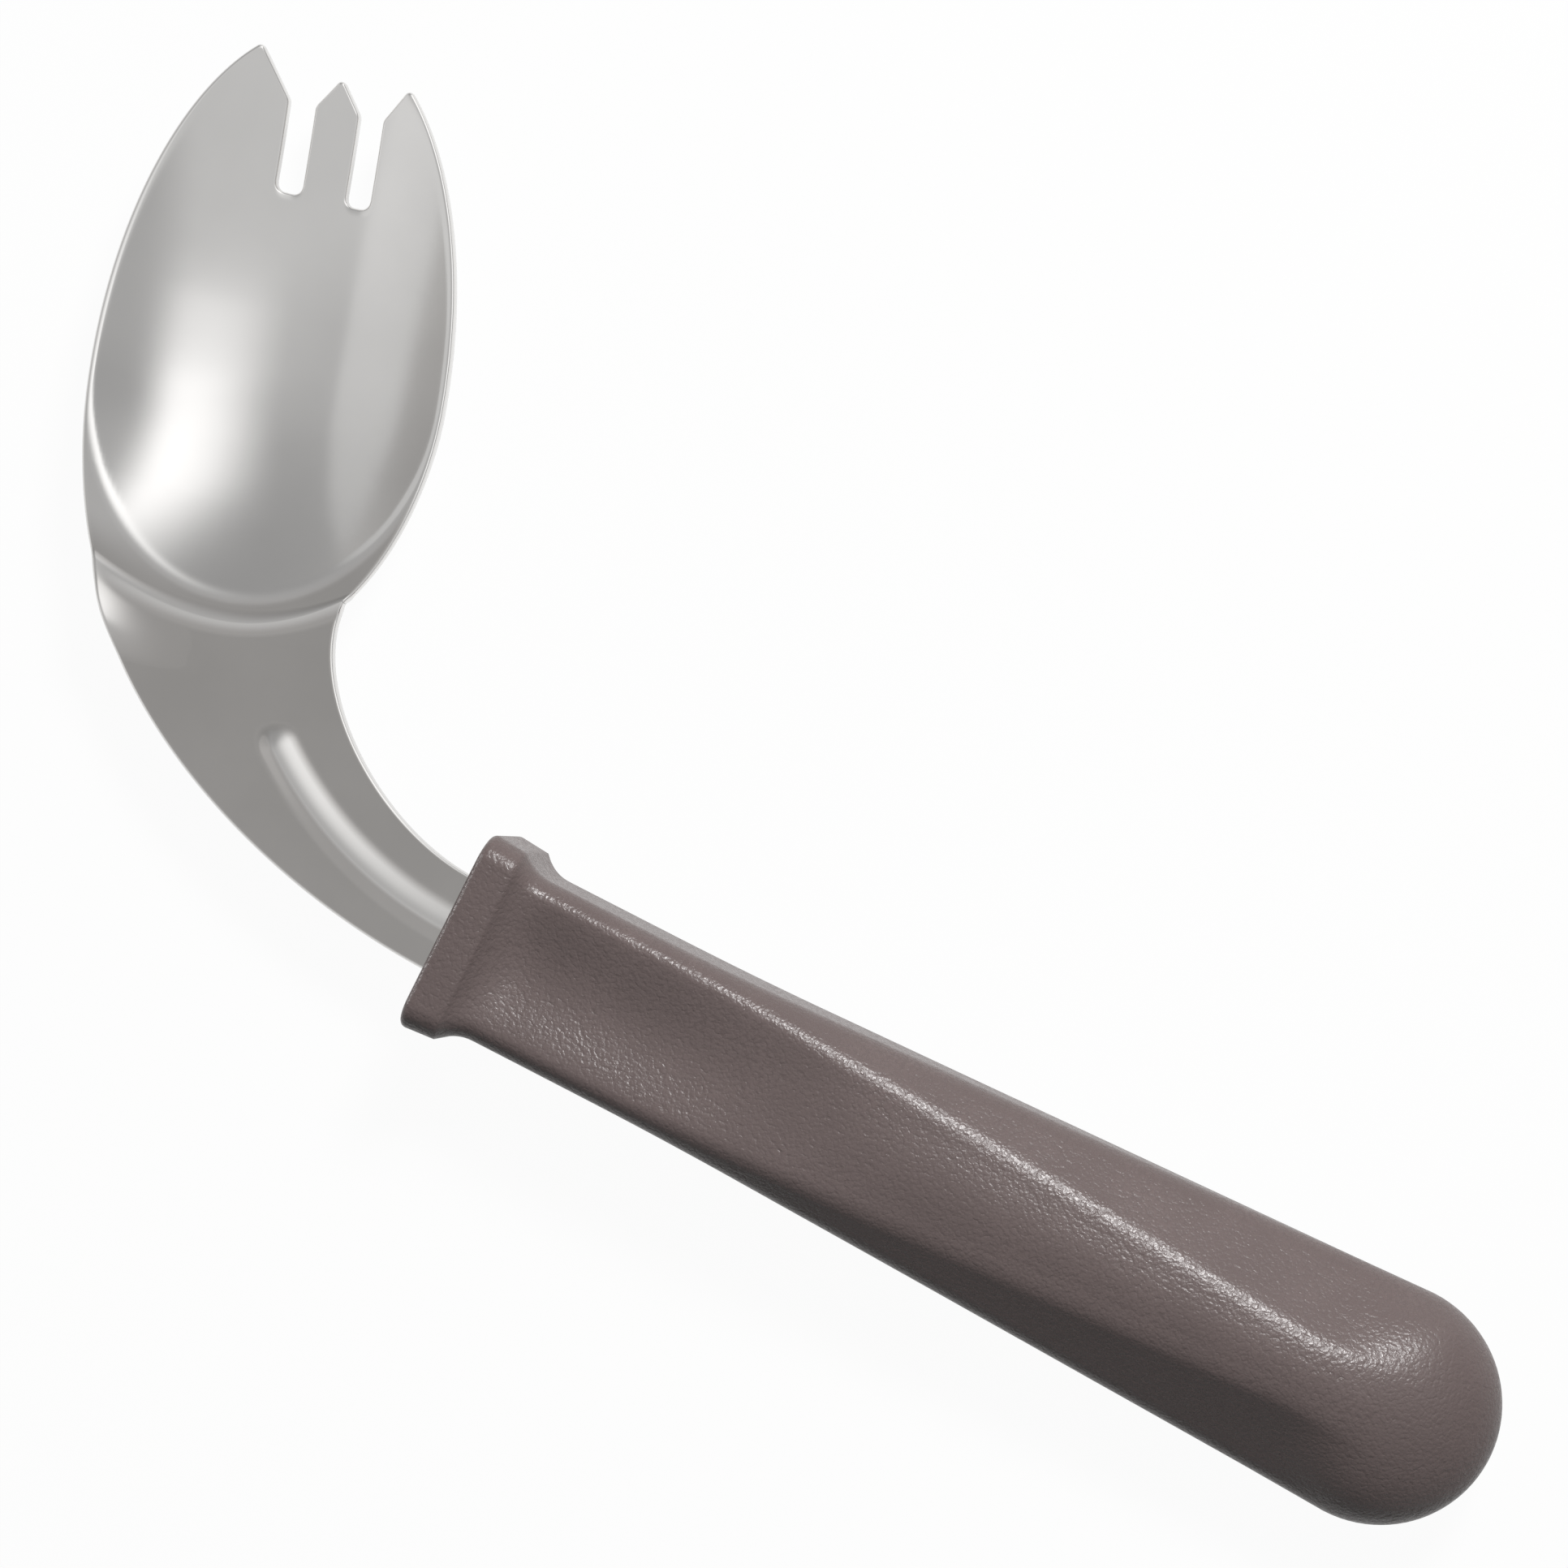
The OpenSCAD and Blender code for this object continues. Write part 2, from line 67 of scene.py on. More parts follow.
MM = 0.001
BODY = "root"
CAD_LO, CAD_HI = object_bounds()
# Share of a run that one rounded corner may take
CORNER_ROOM = 0.48
# Layers of points from the top to the underside of the sheet's rounded edge
EDGE_LAYERS = 11
# Keeps the points of that edge from standing out too far at a sharp corner
MITRE_LEAST = 0.6


def millimetres(name, description, size):
    """A length that a user may change, written in millimetres."""
    return FloatProperty(name=name, description=description, default=size * MM, unit="LENGTH")


def degrees(name, description, turn):
    """An angle that a user may change, written in degrees."""
    return FloatProperty(name=name, description=description, default=math.radians(turn), subtype="ANGLE")


def number(name, description, value):
    """A plain number that a user may change."""
    return FloatProperty(name=name, description=description, default=value)


def fraction(name, description, value):
    """A share between 0 and 1 that a user may change."""
    return FloatProperty(name=name, description=description, default=value, min=0, max=1, subtype="FACTOR")


def colour_rgb(name, description, *rgb):
    """A colour that a user may change, as shares of red, green and blue."""
    return FloatVectorProperty(
        name=name, description=description, default=rgb, min=0, max=1, subtype="COLOR", size=3)


def place_mm(name, description, *place):
    """A place that a user may change, written in millimetres."""
    return FloatVectorProperty(
        name=name, description=description, default=[c * MM for c in place],
        subtype="XYZ", unit="LENGTH", size=3)


class BowlSizes(bpy.types.PropertyGroup):
    """Sizes of the sheet and of the bowl pressed into it"""

    sheet_t: millimetres("Sheet", "Thickness of the steel sheet", 1.4)
    edge: millimetres("Edge", "Outward rounding of the cut edge", 0.3)
    turn: degrees("Turn", "Angle between handle and head", 73.6)
    ahead: millimetres("Ahead", "Bowl's middle ahead of the collar", 39)
    aside: millimetres("Aside", "Bowl's middle beside the axis", 37.4)
    width: millimetres("Width", "Width across the rim", 33.4)
    rim_front: millimetres("Front", "Rim's oval forwards", 33)
    rim_back_outer: millimetres("Outer back", "Rim's oval backwards, outer side", 30.7)
    rim_back_inner: millimetres("Inner back", "Rim's oval backwards, inner side", 25)
    hollow_back: millimetres("Hollow back", "Hollow behind the widest line", 20.2)
    hollow_soft: millimetres("Hollow blend", "Half length of the blend at the widest line", 8)
    heel_back: millimetres("Heel", "Widest line to the crease", 19.1)
    heel_bow: millimetres("Bow", "Bow of the crease to the handle", 3.7)
    bow_end: millimetres("Bow end", "Where the rows run straight", 5)
    rim_up: millimetres("Rim height", "Rim above the neck", 0.3)
    lip_soft: millimetres("Lip", "Softness of the hollow's lip", 0.5)
    crease_h: millimetres("Crease", "Height of the heel's crease", 0.22)
    crease_rise: millimetres("Crease rise", "Rise to the crease, bowl's side", 0.9)
    crease_fall: millimetres("Crease fall", "Fall off the crease, neck's side", 2.4)
    drop: millimetres("Drop", "Length of the drop to the neck", 3)
    curl: millimetres("Curl", "Upward curl of the outer edge", 1.1)
    curl_at: millimetres("Curl place", "Crease to its middle", 4.5)
    curl_len: millimetres("Curl length", "Half length of that curl", 5)


class TineSizes(bpy.types.PropertyGroup):
    """Sizes of the three tines, along and across the head"""

    slot_w: millimetres("Slot width", "Width of a slot", 2.45)
    pitch: millimetres("Pitch", "Distance between the slots", 6.85)
    slot_r: millimetres("Slot corner", "Radius in a slot's end", 0.85)
    floor: millimetres("Slot end", "Widest line to a slot's end", 17.9)
    shoulder: millimetres("Shoulder", "Widest line to shoulders", 26.2)
    tip: millimetres("Tip", "Widest line to the middle tip", 29.2)
    slant: number("Slant", "Rise over run of the outer corners", 1.4)
    shift: millimetres("Shift", "Sideways shift of the tines", -0.1)
    turn: degrees("Turn", "Turn of the tines to the inner side", 3.2)
    shoulder_r: millimetres("Shoulder rounding", "Radius of the shoulders", 1.2)
    tip_r: millimetres("Tip rounding", "Radius of the tips", 0.5)


class NeckSizes(bpy.types.PropertyGroup):
    """Sizes of the curved neck, of its bead and of the tang in the grip"""

    width: millimetres("Width", "Width at the collar", 9.2)
    outer_reach: millimetres("Outer reach", "Outer curve's reach from the collar", 20.5)
    outer_heel: millimetres("Outer heel", "Outer curve's reach from the heel", 12.7)
    outer_lean: degrees("Outer lean", "Outer curve's lean at the heel", -14)
    inner_reach: millimetres("Inner reach", "Inner curve's reach from the collar", 10.7)
    inner_heel: millimetres("Inner heel", "Inner curve's reach from the heel", 8.6)
    inner_lean: degrees("Inner lean", "Inner curve's lean at the heel", 17.5)
    inner_slant: degrees("Inner slant", "Inner curve's slant at collar", -1.5)
    bead_w: millimetres("Bead width", "Width of the bead", 4.2)
    bead_out: millimetres("Bead shift", "Crest beside its path", 0.5)
    bead_inner: fraction("Bead inner share", "Share of the width on the inner side of the crest", 0.62)
    bead_h: millimetres("Bead height", "Height of the bead", 0.65)
    bead_r: millimetres("Bead curve", "Radius of the bead's path", 37.4)
    bead_sweep: degrees("Bead sweep", "Angle of the bead's path", 37)
    bead_inside: millimetres("Bead inside", "Bead in the grip", 6)
    tang_end_w: millimetres("Tang end", "Width at the tang's end", 7)
    tang_chamfer: millimetres("Tang chamfer", "Corner cut at the tang's end", 1.6)


class GripSizes(bpy.types.PropertyGroup):
    """Sizes of the moulded grip and its collar"""

    waist_w: millimetres("Waist", "Width behind the collar", 16.3)
    waist_t: millimetres("Waist height", "Thickness there", 14.4)
    waist_flat: millimetres("Waist flat", "Flat top there", 14)
    butt_flat: millimetres("Butt flat", "Flat top at the butt", 6)
    dish: number("Dish", "Dish behind the collar, depth over half the flat", 0.16)
    crown: number("Crown height", "Crown at the butt, height over half the flat", 0.12)
    dish_end: millimetres("Dish end", "Where the dish fades", 18)
    crown_start: millimetres("Crown", "Where the crown is full", 56)
    waist_side: millimetres("Waist side", "Upright side there", 11.6)
    butt_side: millimetres("Butt side", "Upright side at the butt", 3)
    taper_start: millimetres("Taper", "Where the slopes set in", 26)
    taper_soft: millimetres("Taper soft", "How softly they do", 16)
    ridge_r: millimetres("Ridge", "Rounding beside the flat top", 2.2)
    butt_ridge_r: millimetres("Butt ridge", "Rounding beside the flat top at the butt", 3)
    side_r: millimetres("Side edge", "Rounding of the side edges", 3.2)
    dome_len: millimetres("Dome", "Length of the domed end", 19)
    dome_fade: fraction("Dome fade", "Share of the dome in which the section turns oval", 0.6)
    collar_w: millimetres("Collar", "Width of the collar", 19.4)
    flare: millimetres("Flare", "Extra width at the front", 0.6)
    collar_len: millimetres("Band", "Length of the collar's band", 3.6)
    collar_r: millimetres("Front edge", "Rounding of the front", 0.8)
    run_side: millimetres("Side hollow", "Hollow on the sides", 3.2)
    run_top: millimetres("Top hollow", "Hollow on the top", 5)
    side_steep: number("Side steepness", "Power of the hollow on the sides", 2.2)
    top_steep: number("Top steepness", "Power of the hollow on the top", 4)
    gap: millimetres("Gap", "Clearance round the tang", 0.05)
    sharp: degrees("Sharp", "Bend above which an edge stays sharp", 60)


class FinishSettings(bpy.types.PropertyGroup):
    """Colours and finishes of the two materials"""

    steel: colour_rgb("Steel", "Colour of the polish", 0.74, 0.73, 0.718)
    # The satin colour is darker than the polish: painted shade on the neck, on top of its satin finish
    satin_and_shade: colour_rgb("Satin", "Colour of the satin neck", 0.47, 0.455, 0.44)
    steel_rough: fraction("Steel roughness", "Roughness of the polish", 0.17)
    steel_clouds: number("Steel clouds", "Polishing clouds per metre", 90)
    steel_fine: number("Steel marks", "Fine polishing marks per metre", 1400)
    grip: colour_rgb("Grip", "Colour of the plastic", 0.122, 0.095, 0.092)
    grip_rough: fraction("Grip roughness", "Roughness of the plastic", 0.26)
    grip_shine: fraction("Grip shine", "Specular level of the plastic", 0.26)
    grip_clouds: number("Grip clouds", "Faint clouds per metre", 160)
    grain: millimetres("Grain", "Size of the moulded grain", 0.36)
    grain_h: millimetres("Grain height", "Height of the grain", 0.045)
    grain_bend: millimetres("Grain bend", "How far the grain's cells are bent", 0.6)


class StageSettings(bpy.types.PropertyGroup):
    """Camera, lamps and floor"""

    target: place_mm("Target", "Point in the middle of the picture", 19.02, 25.58, 8.5)
    distance: millimetres("Distance", "Camera to target", 450)
    tilt_x: degrees("Tilt along", "Camera's lean to the butt", 6.367)
    tilt_y: degrees("Tilt across", "Camera's lean to the bowl", 2.117)
    turn: degrees("Turn", "Turn of the picture", 26.71)
    lens: number("Lens", "Focal length in mm", 112.25)
    key: FloatProperty(name="Key", description="Power of the key panel", default=3.65, unit="POWER")
    key_at: place_mm("Key place", "Middle of the key panel", 60, 335, 387)
    key_size: millimetres("Key size", "Side of the square key panel", 120)
    fill: FloatProperty(name="Fill", description="Power of the front fill panel", default=0.6, unit="POWER")
    fill_at: place_mm("Fill place", "Middle of the fill panel", -420, 0, 50)
    fill_size: millimetres("Fill size", "Side of the square fill panel", 100)
    sky: number("Sky", "Level of the surrounding light on dull surfaces", 0.02)
    gloss: number("Gloss", "Level of the surroundings in the steel", 1)
    room: number("Room", "Level of the room in the steel", 0.69)
    window: number("Window", "Level that the window adds", 0.75)
    wall: number("Wall", "Level that the pale wall adds", 0.17)
    corner: number("Corner", "Level that the dim corner takes away", 0.2)
    backdrop: number("Backdrop", "Level of the backdrop in the picture", 0.965)
    floor_colour: colour_rgb("Floor colour", "Colour of the dull floor", 0.55, 0.55, 0.54)
    floor_white: fraction("Floor", "Share of white in the seen floor", 0.96)
    floor_gloss: fraction("Floor gloss", "Share of that white in the steel", 0.8)
    floor_half: millimetres("Floor size", "Half the side of the floor", 3000)
    floor_gap: millimetres("Floor gap", "Clearance below the object", 0.02)


def mix(p, q, t):
    """The value at the share t of the way from p to q."""
    return p + (q - p) * t


def smooth(t):
    """A step from 0 to 1 that starts and ends level."""
    u = np.clip(t, 0, 1)
    return u * u * (3 - 2 * u)


def hump(t):
    """A hump of height 1 and half width 1 without a kink: the square of 1 - t^2."""
    return np.maximum(0, 1 - np.square(t)) ** 2


def soft_min(p, q, k):
    """The lower of two heights, with a soft edge of size k."""
    return np.minimum(p, q) - np.maximum(k - np.abs(p - q), 0) ** 2 / (4 * k)


def soft_ramp(t, soft):
    """A ramp of slope 1 that sets in softly round zero."""
    early = (np.clip(t, -soft / 2, soft / 2) + soft / 2) ** 2 / (2 * soft)
    return np.where(t > soft / 2, t, early)


def bezier(p, t):
    """Points of a cubic curve with the four control points p."""
    t = t[..., None]
    return (1 - t) ** 3 * p[0] + 3 * t * (1 - t) ** 2 * p[1] + 3 * t * t * (1 - t) * p[2] + t ** 3 * p[3]


def fillets(before, p, after, radius, count):
    """Arcs of count points that round the corners p between their neighbours.

    An arc touches both runs. It takes at most CORNER_ROOM of a run, so that two arcs never meet.
    """
    d1, d2 = unit(before - p), unit(after - p)
    half_angle = np.arccos(np.clip((d1 * d2).sum(-1), -1, 1)) / 2
    shorter = np.minimum(np.linalg.norm(before - p, axis=-1), np.linalg.norm(after - p, axis=-1))
    reach = np.minimum(radius / np.tan(half_angle), CORNER_ROOM * shorter)
    r = reach * np.tan(half_angle)
    middle = p + unit(d1 + d2) * (r / np.sin(half_angle))[..., None]
    start = p + d1 * reach[..., None] - middle
    side = np.sign(d2[..., 0] * d1[..., 1] - d2[..., 1] * d1[..., 0])
    sweep = (side * (math.pi - 2 * half_angle))[..., None] * np.linspace(0, 1, count)
    angle = np.arctan2(start[..., 1], start[..., 0])[..., None] + sweep
    return middle[..., None, :] + r[..., None, None] * np.stack([np.cos(angle), np.sin(angle)], -1)


def crowded(count, sharp=0.8):
    """Shares from 0 to 1 that crowd together at both ends."""
    u = np.linspace(0, 1, count)
    return mix(u, (1 - np.cos(np.pi * u)) / 2, sharp)


def unit(v):
    """Vectors of length 1 along v."""
    return v / np.linalg.norm(v, axis=-1, keepdims=True)


def lifted(plan, z):
    """Plan points with their heights added."""
    return np.concatenate([plan, z[..., None]], -1)


def tang_half(neck, tang_len, u):
    """Half the tang's width at the distance u into the grip: a long taper with two cut corners."""
    straight = tang_len - neck.tang_chamfer
    taper = mix(neck.width, neck.tang_end_w, np.clip(u / straight, 0, 1))
    return taper / 2 - np.maximum(0, u - straight)


class BladeForm:
    """The upper side of the pressed sheet as formulas.

    Along the head runs a, from the bowl's widest line towards the tips, and across it b. The share s runs
    from -1 on the outer edge to 1 on the inner edge, through bowl, neck and tang.
    """

    TANG_ROWS = 10
    BEAD_ROWS = 16
    NECK_ROWS = 120
    HEEL_ROWS = 52
    BOWL_ROWS = 50
    TINE_ROWS = 34
    NECK_CROWD = 1.7
    TINE_CROWD = 0.6
    CURL_POWER = 5
    # Shares of the painted highlight on the raised parts of the sheet and on the bead's inner flank
    HIGHLIGHT_PAINT = 0.75
    BEAD_HIGHLIGHT_PAINT = 2.5
    OUTER_FADE = 5 * MM

    def __init__(self, bowl, tines, neck, front_x, axis_z, tang_len):
        self.bowl, self.tines, self.neck = bowl, tines, neck
        self.front_x, self.tang_len = front_x, tang_len
        self.tang_top = axis_z + bowl.sheet_t / 2
        self.rim_z = self.tang_top + bowl.rim_up
        self.depth = self.rim_z - bowl.sheet_t
        self.along = self.heading(bowl.turn)
        self.across = np.array([math.sin(bowl.turn), math.cos(bowl.turn)])
        self.mid = np.array([front_x - bowl.ahead, bowl.aside])
        heel = np.full(2, -bowl.heel_back)
        half = self.rim_half(heel, np.array([-1.0, 1.0]))
        self.heel_share = half[0] / half.sum()
        start_outer, start_inner = self.head_point(heel, half * np.array([-1, 1]))
        end_outer = np.array([front_x, -neck.width / 2])
        end_inner = np.array([front_x, neck.width / 2])
        self.outer = (
            start_outer,
            start_outer - neck.outer_heel * self.heading(bowl.turn + neck.outer_lean),
            end_outer + neck.outer_reach * self.heading(0),
            end_outer,
        )
        self.inner = (
            start_inner,
            start_inner - neck.inner_heel * self.heading(bowl.turn + neck.inner_lean),
            end_inner + neck.inner_reach * self.heading(neck.inner_slant),
            end_inner,
        )
        middle = (bezier(self.outer, np.array(0.5)) + bezier(self.inner, np.array(0.5))) / 2
        to_heel = np.linalg.norm(middle - (start_outer + start_inner) / 2)
        to_collar = np.linalg.norm(middle - (end_outer + end_inner) / 2)
        self.neck_len = to_heel + to_collar

    @staticmethod
    def heading(angle):
        """Plan direction ahead, turned by an angle towards the inner side."""
        return np.array([-math.cos(angle), math.sin(angle)])

    def head_point(self, a, b):
        """Plan of the point a along and b across the head."""
        return self.mid + a[..., None] * self.along + b[..., None] * self.across

    def rim_half(self, a, s):
        """Half the width at a: an oval that is longer ahead of the widest line than behind it."""
        back = np.where(s < 0, self.bowl.rim_back_outer, self.bowl.rim_back_inner)
        reach = np.where(a > 0, self.bowl.rim_front, back)
        return self.bowl.width / 2 * np.sqrt(np.maximum(0, 1 - (a / reach) ** 2))

    def bowl_plan(self, a, s):
        """Plan of the bowl's rows, which bow towards the handle as they near the heel."""
        bow_end, heel_back = self.bowl.bow_end, self.bowl.heel_back
        bow = self.bowl.heel_bow * (np.maximum(0, bow_end - a) / (bow_end + heel_back)) ** 2
        return self.head_point(a - bow * (1 - s * s), s * self.rim_half(a, s))

    def neck_plan(self, t, s):
        """Plan of the neck: shares of the way between two cubic edge curves, from heel to collar."""
        middle = mix(self.heel_share, 0.5, t)
        share = np.where(s < 0, (1 + s) * middle, mix(middle, 1, s))
        bow = self.bowl.heel_bow * (1 - t) ** 4 * (1 - s * s)
        edges = mix(bezier(self.outer, t), bezier(self.inner, t), share[..., None])
        return edges - bow[..., None] * self.along

    def tang_plan(self, u, s):
        """Plan of the tang: shares of its half width on both sides of the grip's axis."""
        return np.stack([self.front_x + u, s * tang_half(self.neck, self.tang_len, u)], -1)

    def hollow_z(self, plan):
        """Height in the hollow: a dish with a longer slope ahead of the widest line than behind it."""
        bowl = self.bowl
        a, b = (plan - self.mid) @ self.along, (plan - self.mid) @ self.across
        ahead = smooth(a / (2 * bowl.hollow_soft) + 0.5)
        steep = mix(1 / bowl.hollow_back ** 2, 1 / bowl.rim_front ** 2, ahead)
        return self.rim_z - self.depth * (1 - steep * a * a - (2 * b / bowl.width) ** 2)

    def crease(self, d):
        """Share of the crease's height at a distance d behind its crest."""
        return hump(d / np.where(d < 0, self.bowl.crease_rise, self.bowl.crease_fall))

    def curl(self, d, s):
        """Share of the outer edge's curl: a hump along the edge that fades quickly inwards."""
        return hump((d - self.bowl.curl_at) / self.bowl.curl_len) * np.maximum(0, -s) ** self.CURL_POWER

    def flat_z(self, d, s):
        """Height of rim and neck at a distance d behind the crease: drop, crease and curled edge."""
        bowl = self.bowl
        raised = bowl.crease_h * self.crease(d) + bowl.curl * self.curl(d, s)
        return self.rim_z - bowl.rim_up * smooth(d / bowl.drop) + raised

    def bead(self, plan):
        """Share of the bead's height: a hump round a path, straight in the grip and an arc ahead of it."""
        neck = self.neck
        x, y = plan[..., 0] - self.front_x, plan[..., 1]
        around = np.arctan2(-x, neck.bead_r - y)
        past = np.where(x > 0, x - neck.bead_inside, neck.bead_r * (around - neck.bead_sweep))
        inwards = self.bead_inwards(plan)
        half = neck.bead_w * np.where(inwards > 0, neck.bead_inner, 1 - neck.bead_inner)
        return hump(np.hypot(np.maximum(0, past) / (neck.bead_w / 2), inwards / half))

    def bead_inwards(self, plan):
        """Distance from the bead's crest towards the middle of its arc."""
        x, y = plan[..., 0] - self.front_x, plan[..., 1]
        return self.neck.bead_out + np.where(x > 0, y, self.neck.bead_r - np.hypot(x, y - self.neck.bead_r))

    def bowl_point(self, plan, a, s):
        """Points of the bowl: the lower of hollow and rim, with a soft lip between them."""
        z = soft_min(self.hollow_z(plan), self.flat_z(-self.bowl.heel_back - a, s), self.bowl.lip_soft)
        return lifted(plan, z)

    def bowl_satin_and_shade(self, plan, a, s):
        """Share of satin finish and painted shade: none in the hollow, all behind its lip, less on crease and
        outer rim, which get painted highlights.
        """
        d = -self.bowl.heel_back - a
        past = smooth((self.hollow_z(plan) - self.flat_z(d, s)) / (2 * self.bowl.lip_soft))
        # Painted highlight on the outer side of the rim ahead of the crease
        outer = smooth(-2 * s) * smooth(-d / self.OUTER_FADE)
        return past * self.painted_highlights(self.crease(d) + self.curl(d, s) + outer)

    def neck_satin_and_shade(self, t, s):
        """Share of satin finish and painted shade on the neck: less on crease, curled edge and the bead's
        inner flank, which get painted highlights.
        """
        d, plan = t * self.neck_len, self.neck_plan(t, s)
        # Painted highlight along the bead on its inner flank only; the outer flank keeps the painted shade
        inner = smooth(self.bead_inwards(plan) / MM + 0.5)
        bead = self.BEAD_HIGHLIGHT_PAINT * inner * self.bead(plan)
        return self.painted_highlights(self.crease(d) + self.curl(d, s) + bead)

    def painted_highlights(self, raised):
        """Share of satin finish and painted shade that is left where a raised share of the sheet gets a
        painted highlight.
        """
        return 1 - self.HIGHLIGHT_PAINT * np.minimum(1, raised)

    def neck_point(self, t, s):
        """Points of the neck: the flat sheet with the bead on it."""
        plan = self.neck_plan(t, s)
        z = self.flat_z(t * self.neck_len, s) + self.neck.bead_h * self.bead(plan)
        return lifted(plan, z)

    def tang_point(self, u, s):
        """Points of the tang: level, with the bead's end on it."""
        plan = self.tang_plan(u, s)
        z = self.tang_top + self.neck.bead_h * self.bead(plan)
        return lifted(plan, z)


class TinePlan:
    """Columns of the sheet at the tines, in five strips: tine, slot, tine, slot, tine.

    The tines have axes of their own, p forwards and q across, turned a little against the head's. Each
    line is drawn in by the edge's rounding, so that the rounded edge reaches the true outline.
    """

    CORNER_PTS = 7
    SIDE_PTS = 18
    MIDDLE_PTS = 7
    SLOT_PTS = 6
    SLOT_ARC = 0.75
    FLAT_PTS = 5
    RIM_PTS = 6000
    TIP_BACK = 100

    def __init__(self, form):
        tines, edge = form.tines, form.bowl.edge
        self.form, self.tines, self.edge = form, tines, edge
        self.cos, self.sin = math.cos(tines.turn), math.sin(tines.turn)
        self.base = tines.floor + tines.slot_r
        half = tines.slot_w / 2 + edge
        centres = tines.shift + np.array([-0.5, 0.5]) * tines.pitch
        rim_a = np.linspace(0, form.bowl.rim_front, self.RIM_PTS)
        outer = self.side_tine(centres[0] - half, -1.0, rim_a)
        inner = self.side_tine(centres[1] + half, 1.0, rim_a)
        self.tip_lines = (outer[2], inner[2])
        middle = self.middle_tine(centres[0] + half, centres[1] - half)
        slot, depth = self.slot_columns()
        slots = [np.stack([self.base - depth, c + slot], -1) for c in centres]
        self.start = np.concatenate([outer[0][::-1], slots[0], middle[0], slots[1], inner[0]])
        self.front = np.concatenate([outer[1][::-1], slots[0], middle[1], slots[1], inner[1]])
        sizes = [len(part) for part in (outer[0], slots[0], middle[0], slots[1], inner[0])]
        ends = np.cumsum(sizes)
        self.strips = [slice(end - size, end) for end, size in zip(ends, sizes)]
        self.a, b = self.to_head(self.start)
        self.s = b / form.rim_half(self.a, b)

    def to_own(self, a, b):
        """The tines' p and q of a place given along the head's axes."""
        return np.stack([a * self.cos + b * self.sin, b * self.cos - a * self.sin], -1)

    def to_head(self, own):
        """The head's a and b of a place given along the tines' axes."""
        p, q = own[..., 0], own[..., 1]
        return p * self.cos - q * self.sin, p * self.sin + q * self.cos

    def walk(self, corners, radii, run):
        """A line through the inner corners, rounded there, with crowded places on the straight runs."""
        corners = np.array(corners)
        radii = np.array(radii) - self.edge
        arcs = fillets(corners[:-2], corners[1:-1], corners[2:], radii, self.CORNER_PTS)
        runs = mix(arcs[:-1, -1:], arcs[1:, :1], crowded(run)[1:-1, None])
        return np.concatenate([part for pair in zip(arcs, runs) for part in pair] + [arcs[-1]])

    @staticmethod
    def shares(front):
        """How far each column lies across its tine at the slots' ends: half by number, half by place."""
        q = front[:, 1]
        return (np.linspace(0, 1, len(q)) + (q - q[0]) / (q[-1] - q[0]))[:, None] / 2

    def rim(self, side, a):
        """The rim at a on one side, in the tines' axes."""
        return self.to_own(a, side * self.form.rim_half(a, np.array(side)))

    def side_tine(self, q, side, rim_a):
        """Columns of an outer tine from slot to rim: their starts, their front ends and the rim's way."""
        tines = self.tines
        rim = self.rim(side, rim_a)
        far = np.abs(np.append(rim[:, 1], q) - tines.shift) - (tines.pitch + tines.slot_w) / 2
        line = tines.shoulder + tines.slant * far - self.edge * math.hypot(1, tines.slant)
        tip = np.argmax(rim[:, 0] > line[:-1])
        corners = [(self.base, q), (line[-1], q), rim[tip], rim[tip - self.TIP_BACK]]
        front = self.walk(corners, (tines.shoulder_r, tines.tip_r), self.SIDE_PTS)
        first = np.interp(self.base, rim[:tip, 0], rim_a[:tip])
        last = self.to_head(front[-1])[0]
        front[-1] = self.rim(side, last)
        start = mix(np.array([self.base, q]), self.rim(side, first), self.shares(front))
        return start, front, (side, first, last)

    def middle_tine(self, q1, q2):
        """Columns of the middle tine: their starts and their front ends."""
        tines = self.tines
        rise = (tines.tip - tines.shoulder) / ((tines.pitch - tines.slot_w) / 2)
        tip = tines.tip - self.edge * math.hypot(1, rise)
        low1, low2 = (tip - rise * abs(q - tines.shift) for q in (q1, q2))
        corners = [(self.base, q1), (low1, q1), (tip, tines.shift), (low2, q2), (self.base, q2)]
        front = self.walk(corners, (tines.shoulder_r, tines.tip_r, tines.shoulder_r), self.MIDDLE_PTS)
        return mix(np.array([self.base, q1]), np.array([self.base, q2]), self.shares(front)), front

    def slot_columns(self):
        """Places across a slot and how far its rounded end reaches back there, without its two sides."""
        tines = self.tines
        straight = tines.slot_w / 2 - tines.slot_r
        r = tines.slot_r + self.edge
        angle = np.linspace(self.SLOT_ARC * math.pi / 2, 0, self.SLOT_PTS)
        arc, back = straight + r * np.sin(angle), r * np.cos(angle)
        flat = np.linspace(-straight, straight, self.FLAT_PTS)[1:-1]
        across = np.concatenate([-arc, flat, arc[::-1]])
        return across, np.concatenate([back, np.full(len(flat), r), back[::-1]])

    def rows(self, v):
        """Plan of the tines' rows at shares v of the way to the front; outer columns bend with the rim."""
        v = v[:, None, None]
        own = mix(self.start, self.front, v)
        for strip, turned, (side, first, last) in zip(self.strips[::4], (-1, 1), self.tip_lines):
            chord = mix(self.rim(side, first), self.rim(side, last), v)
            bend = self.rim(side, mix(first, last, v[:, 0])) - chord
            own[:, strip] += self.shares(self.front[strip][::turned])[::turned] * bend
        return self.to_head(own)


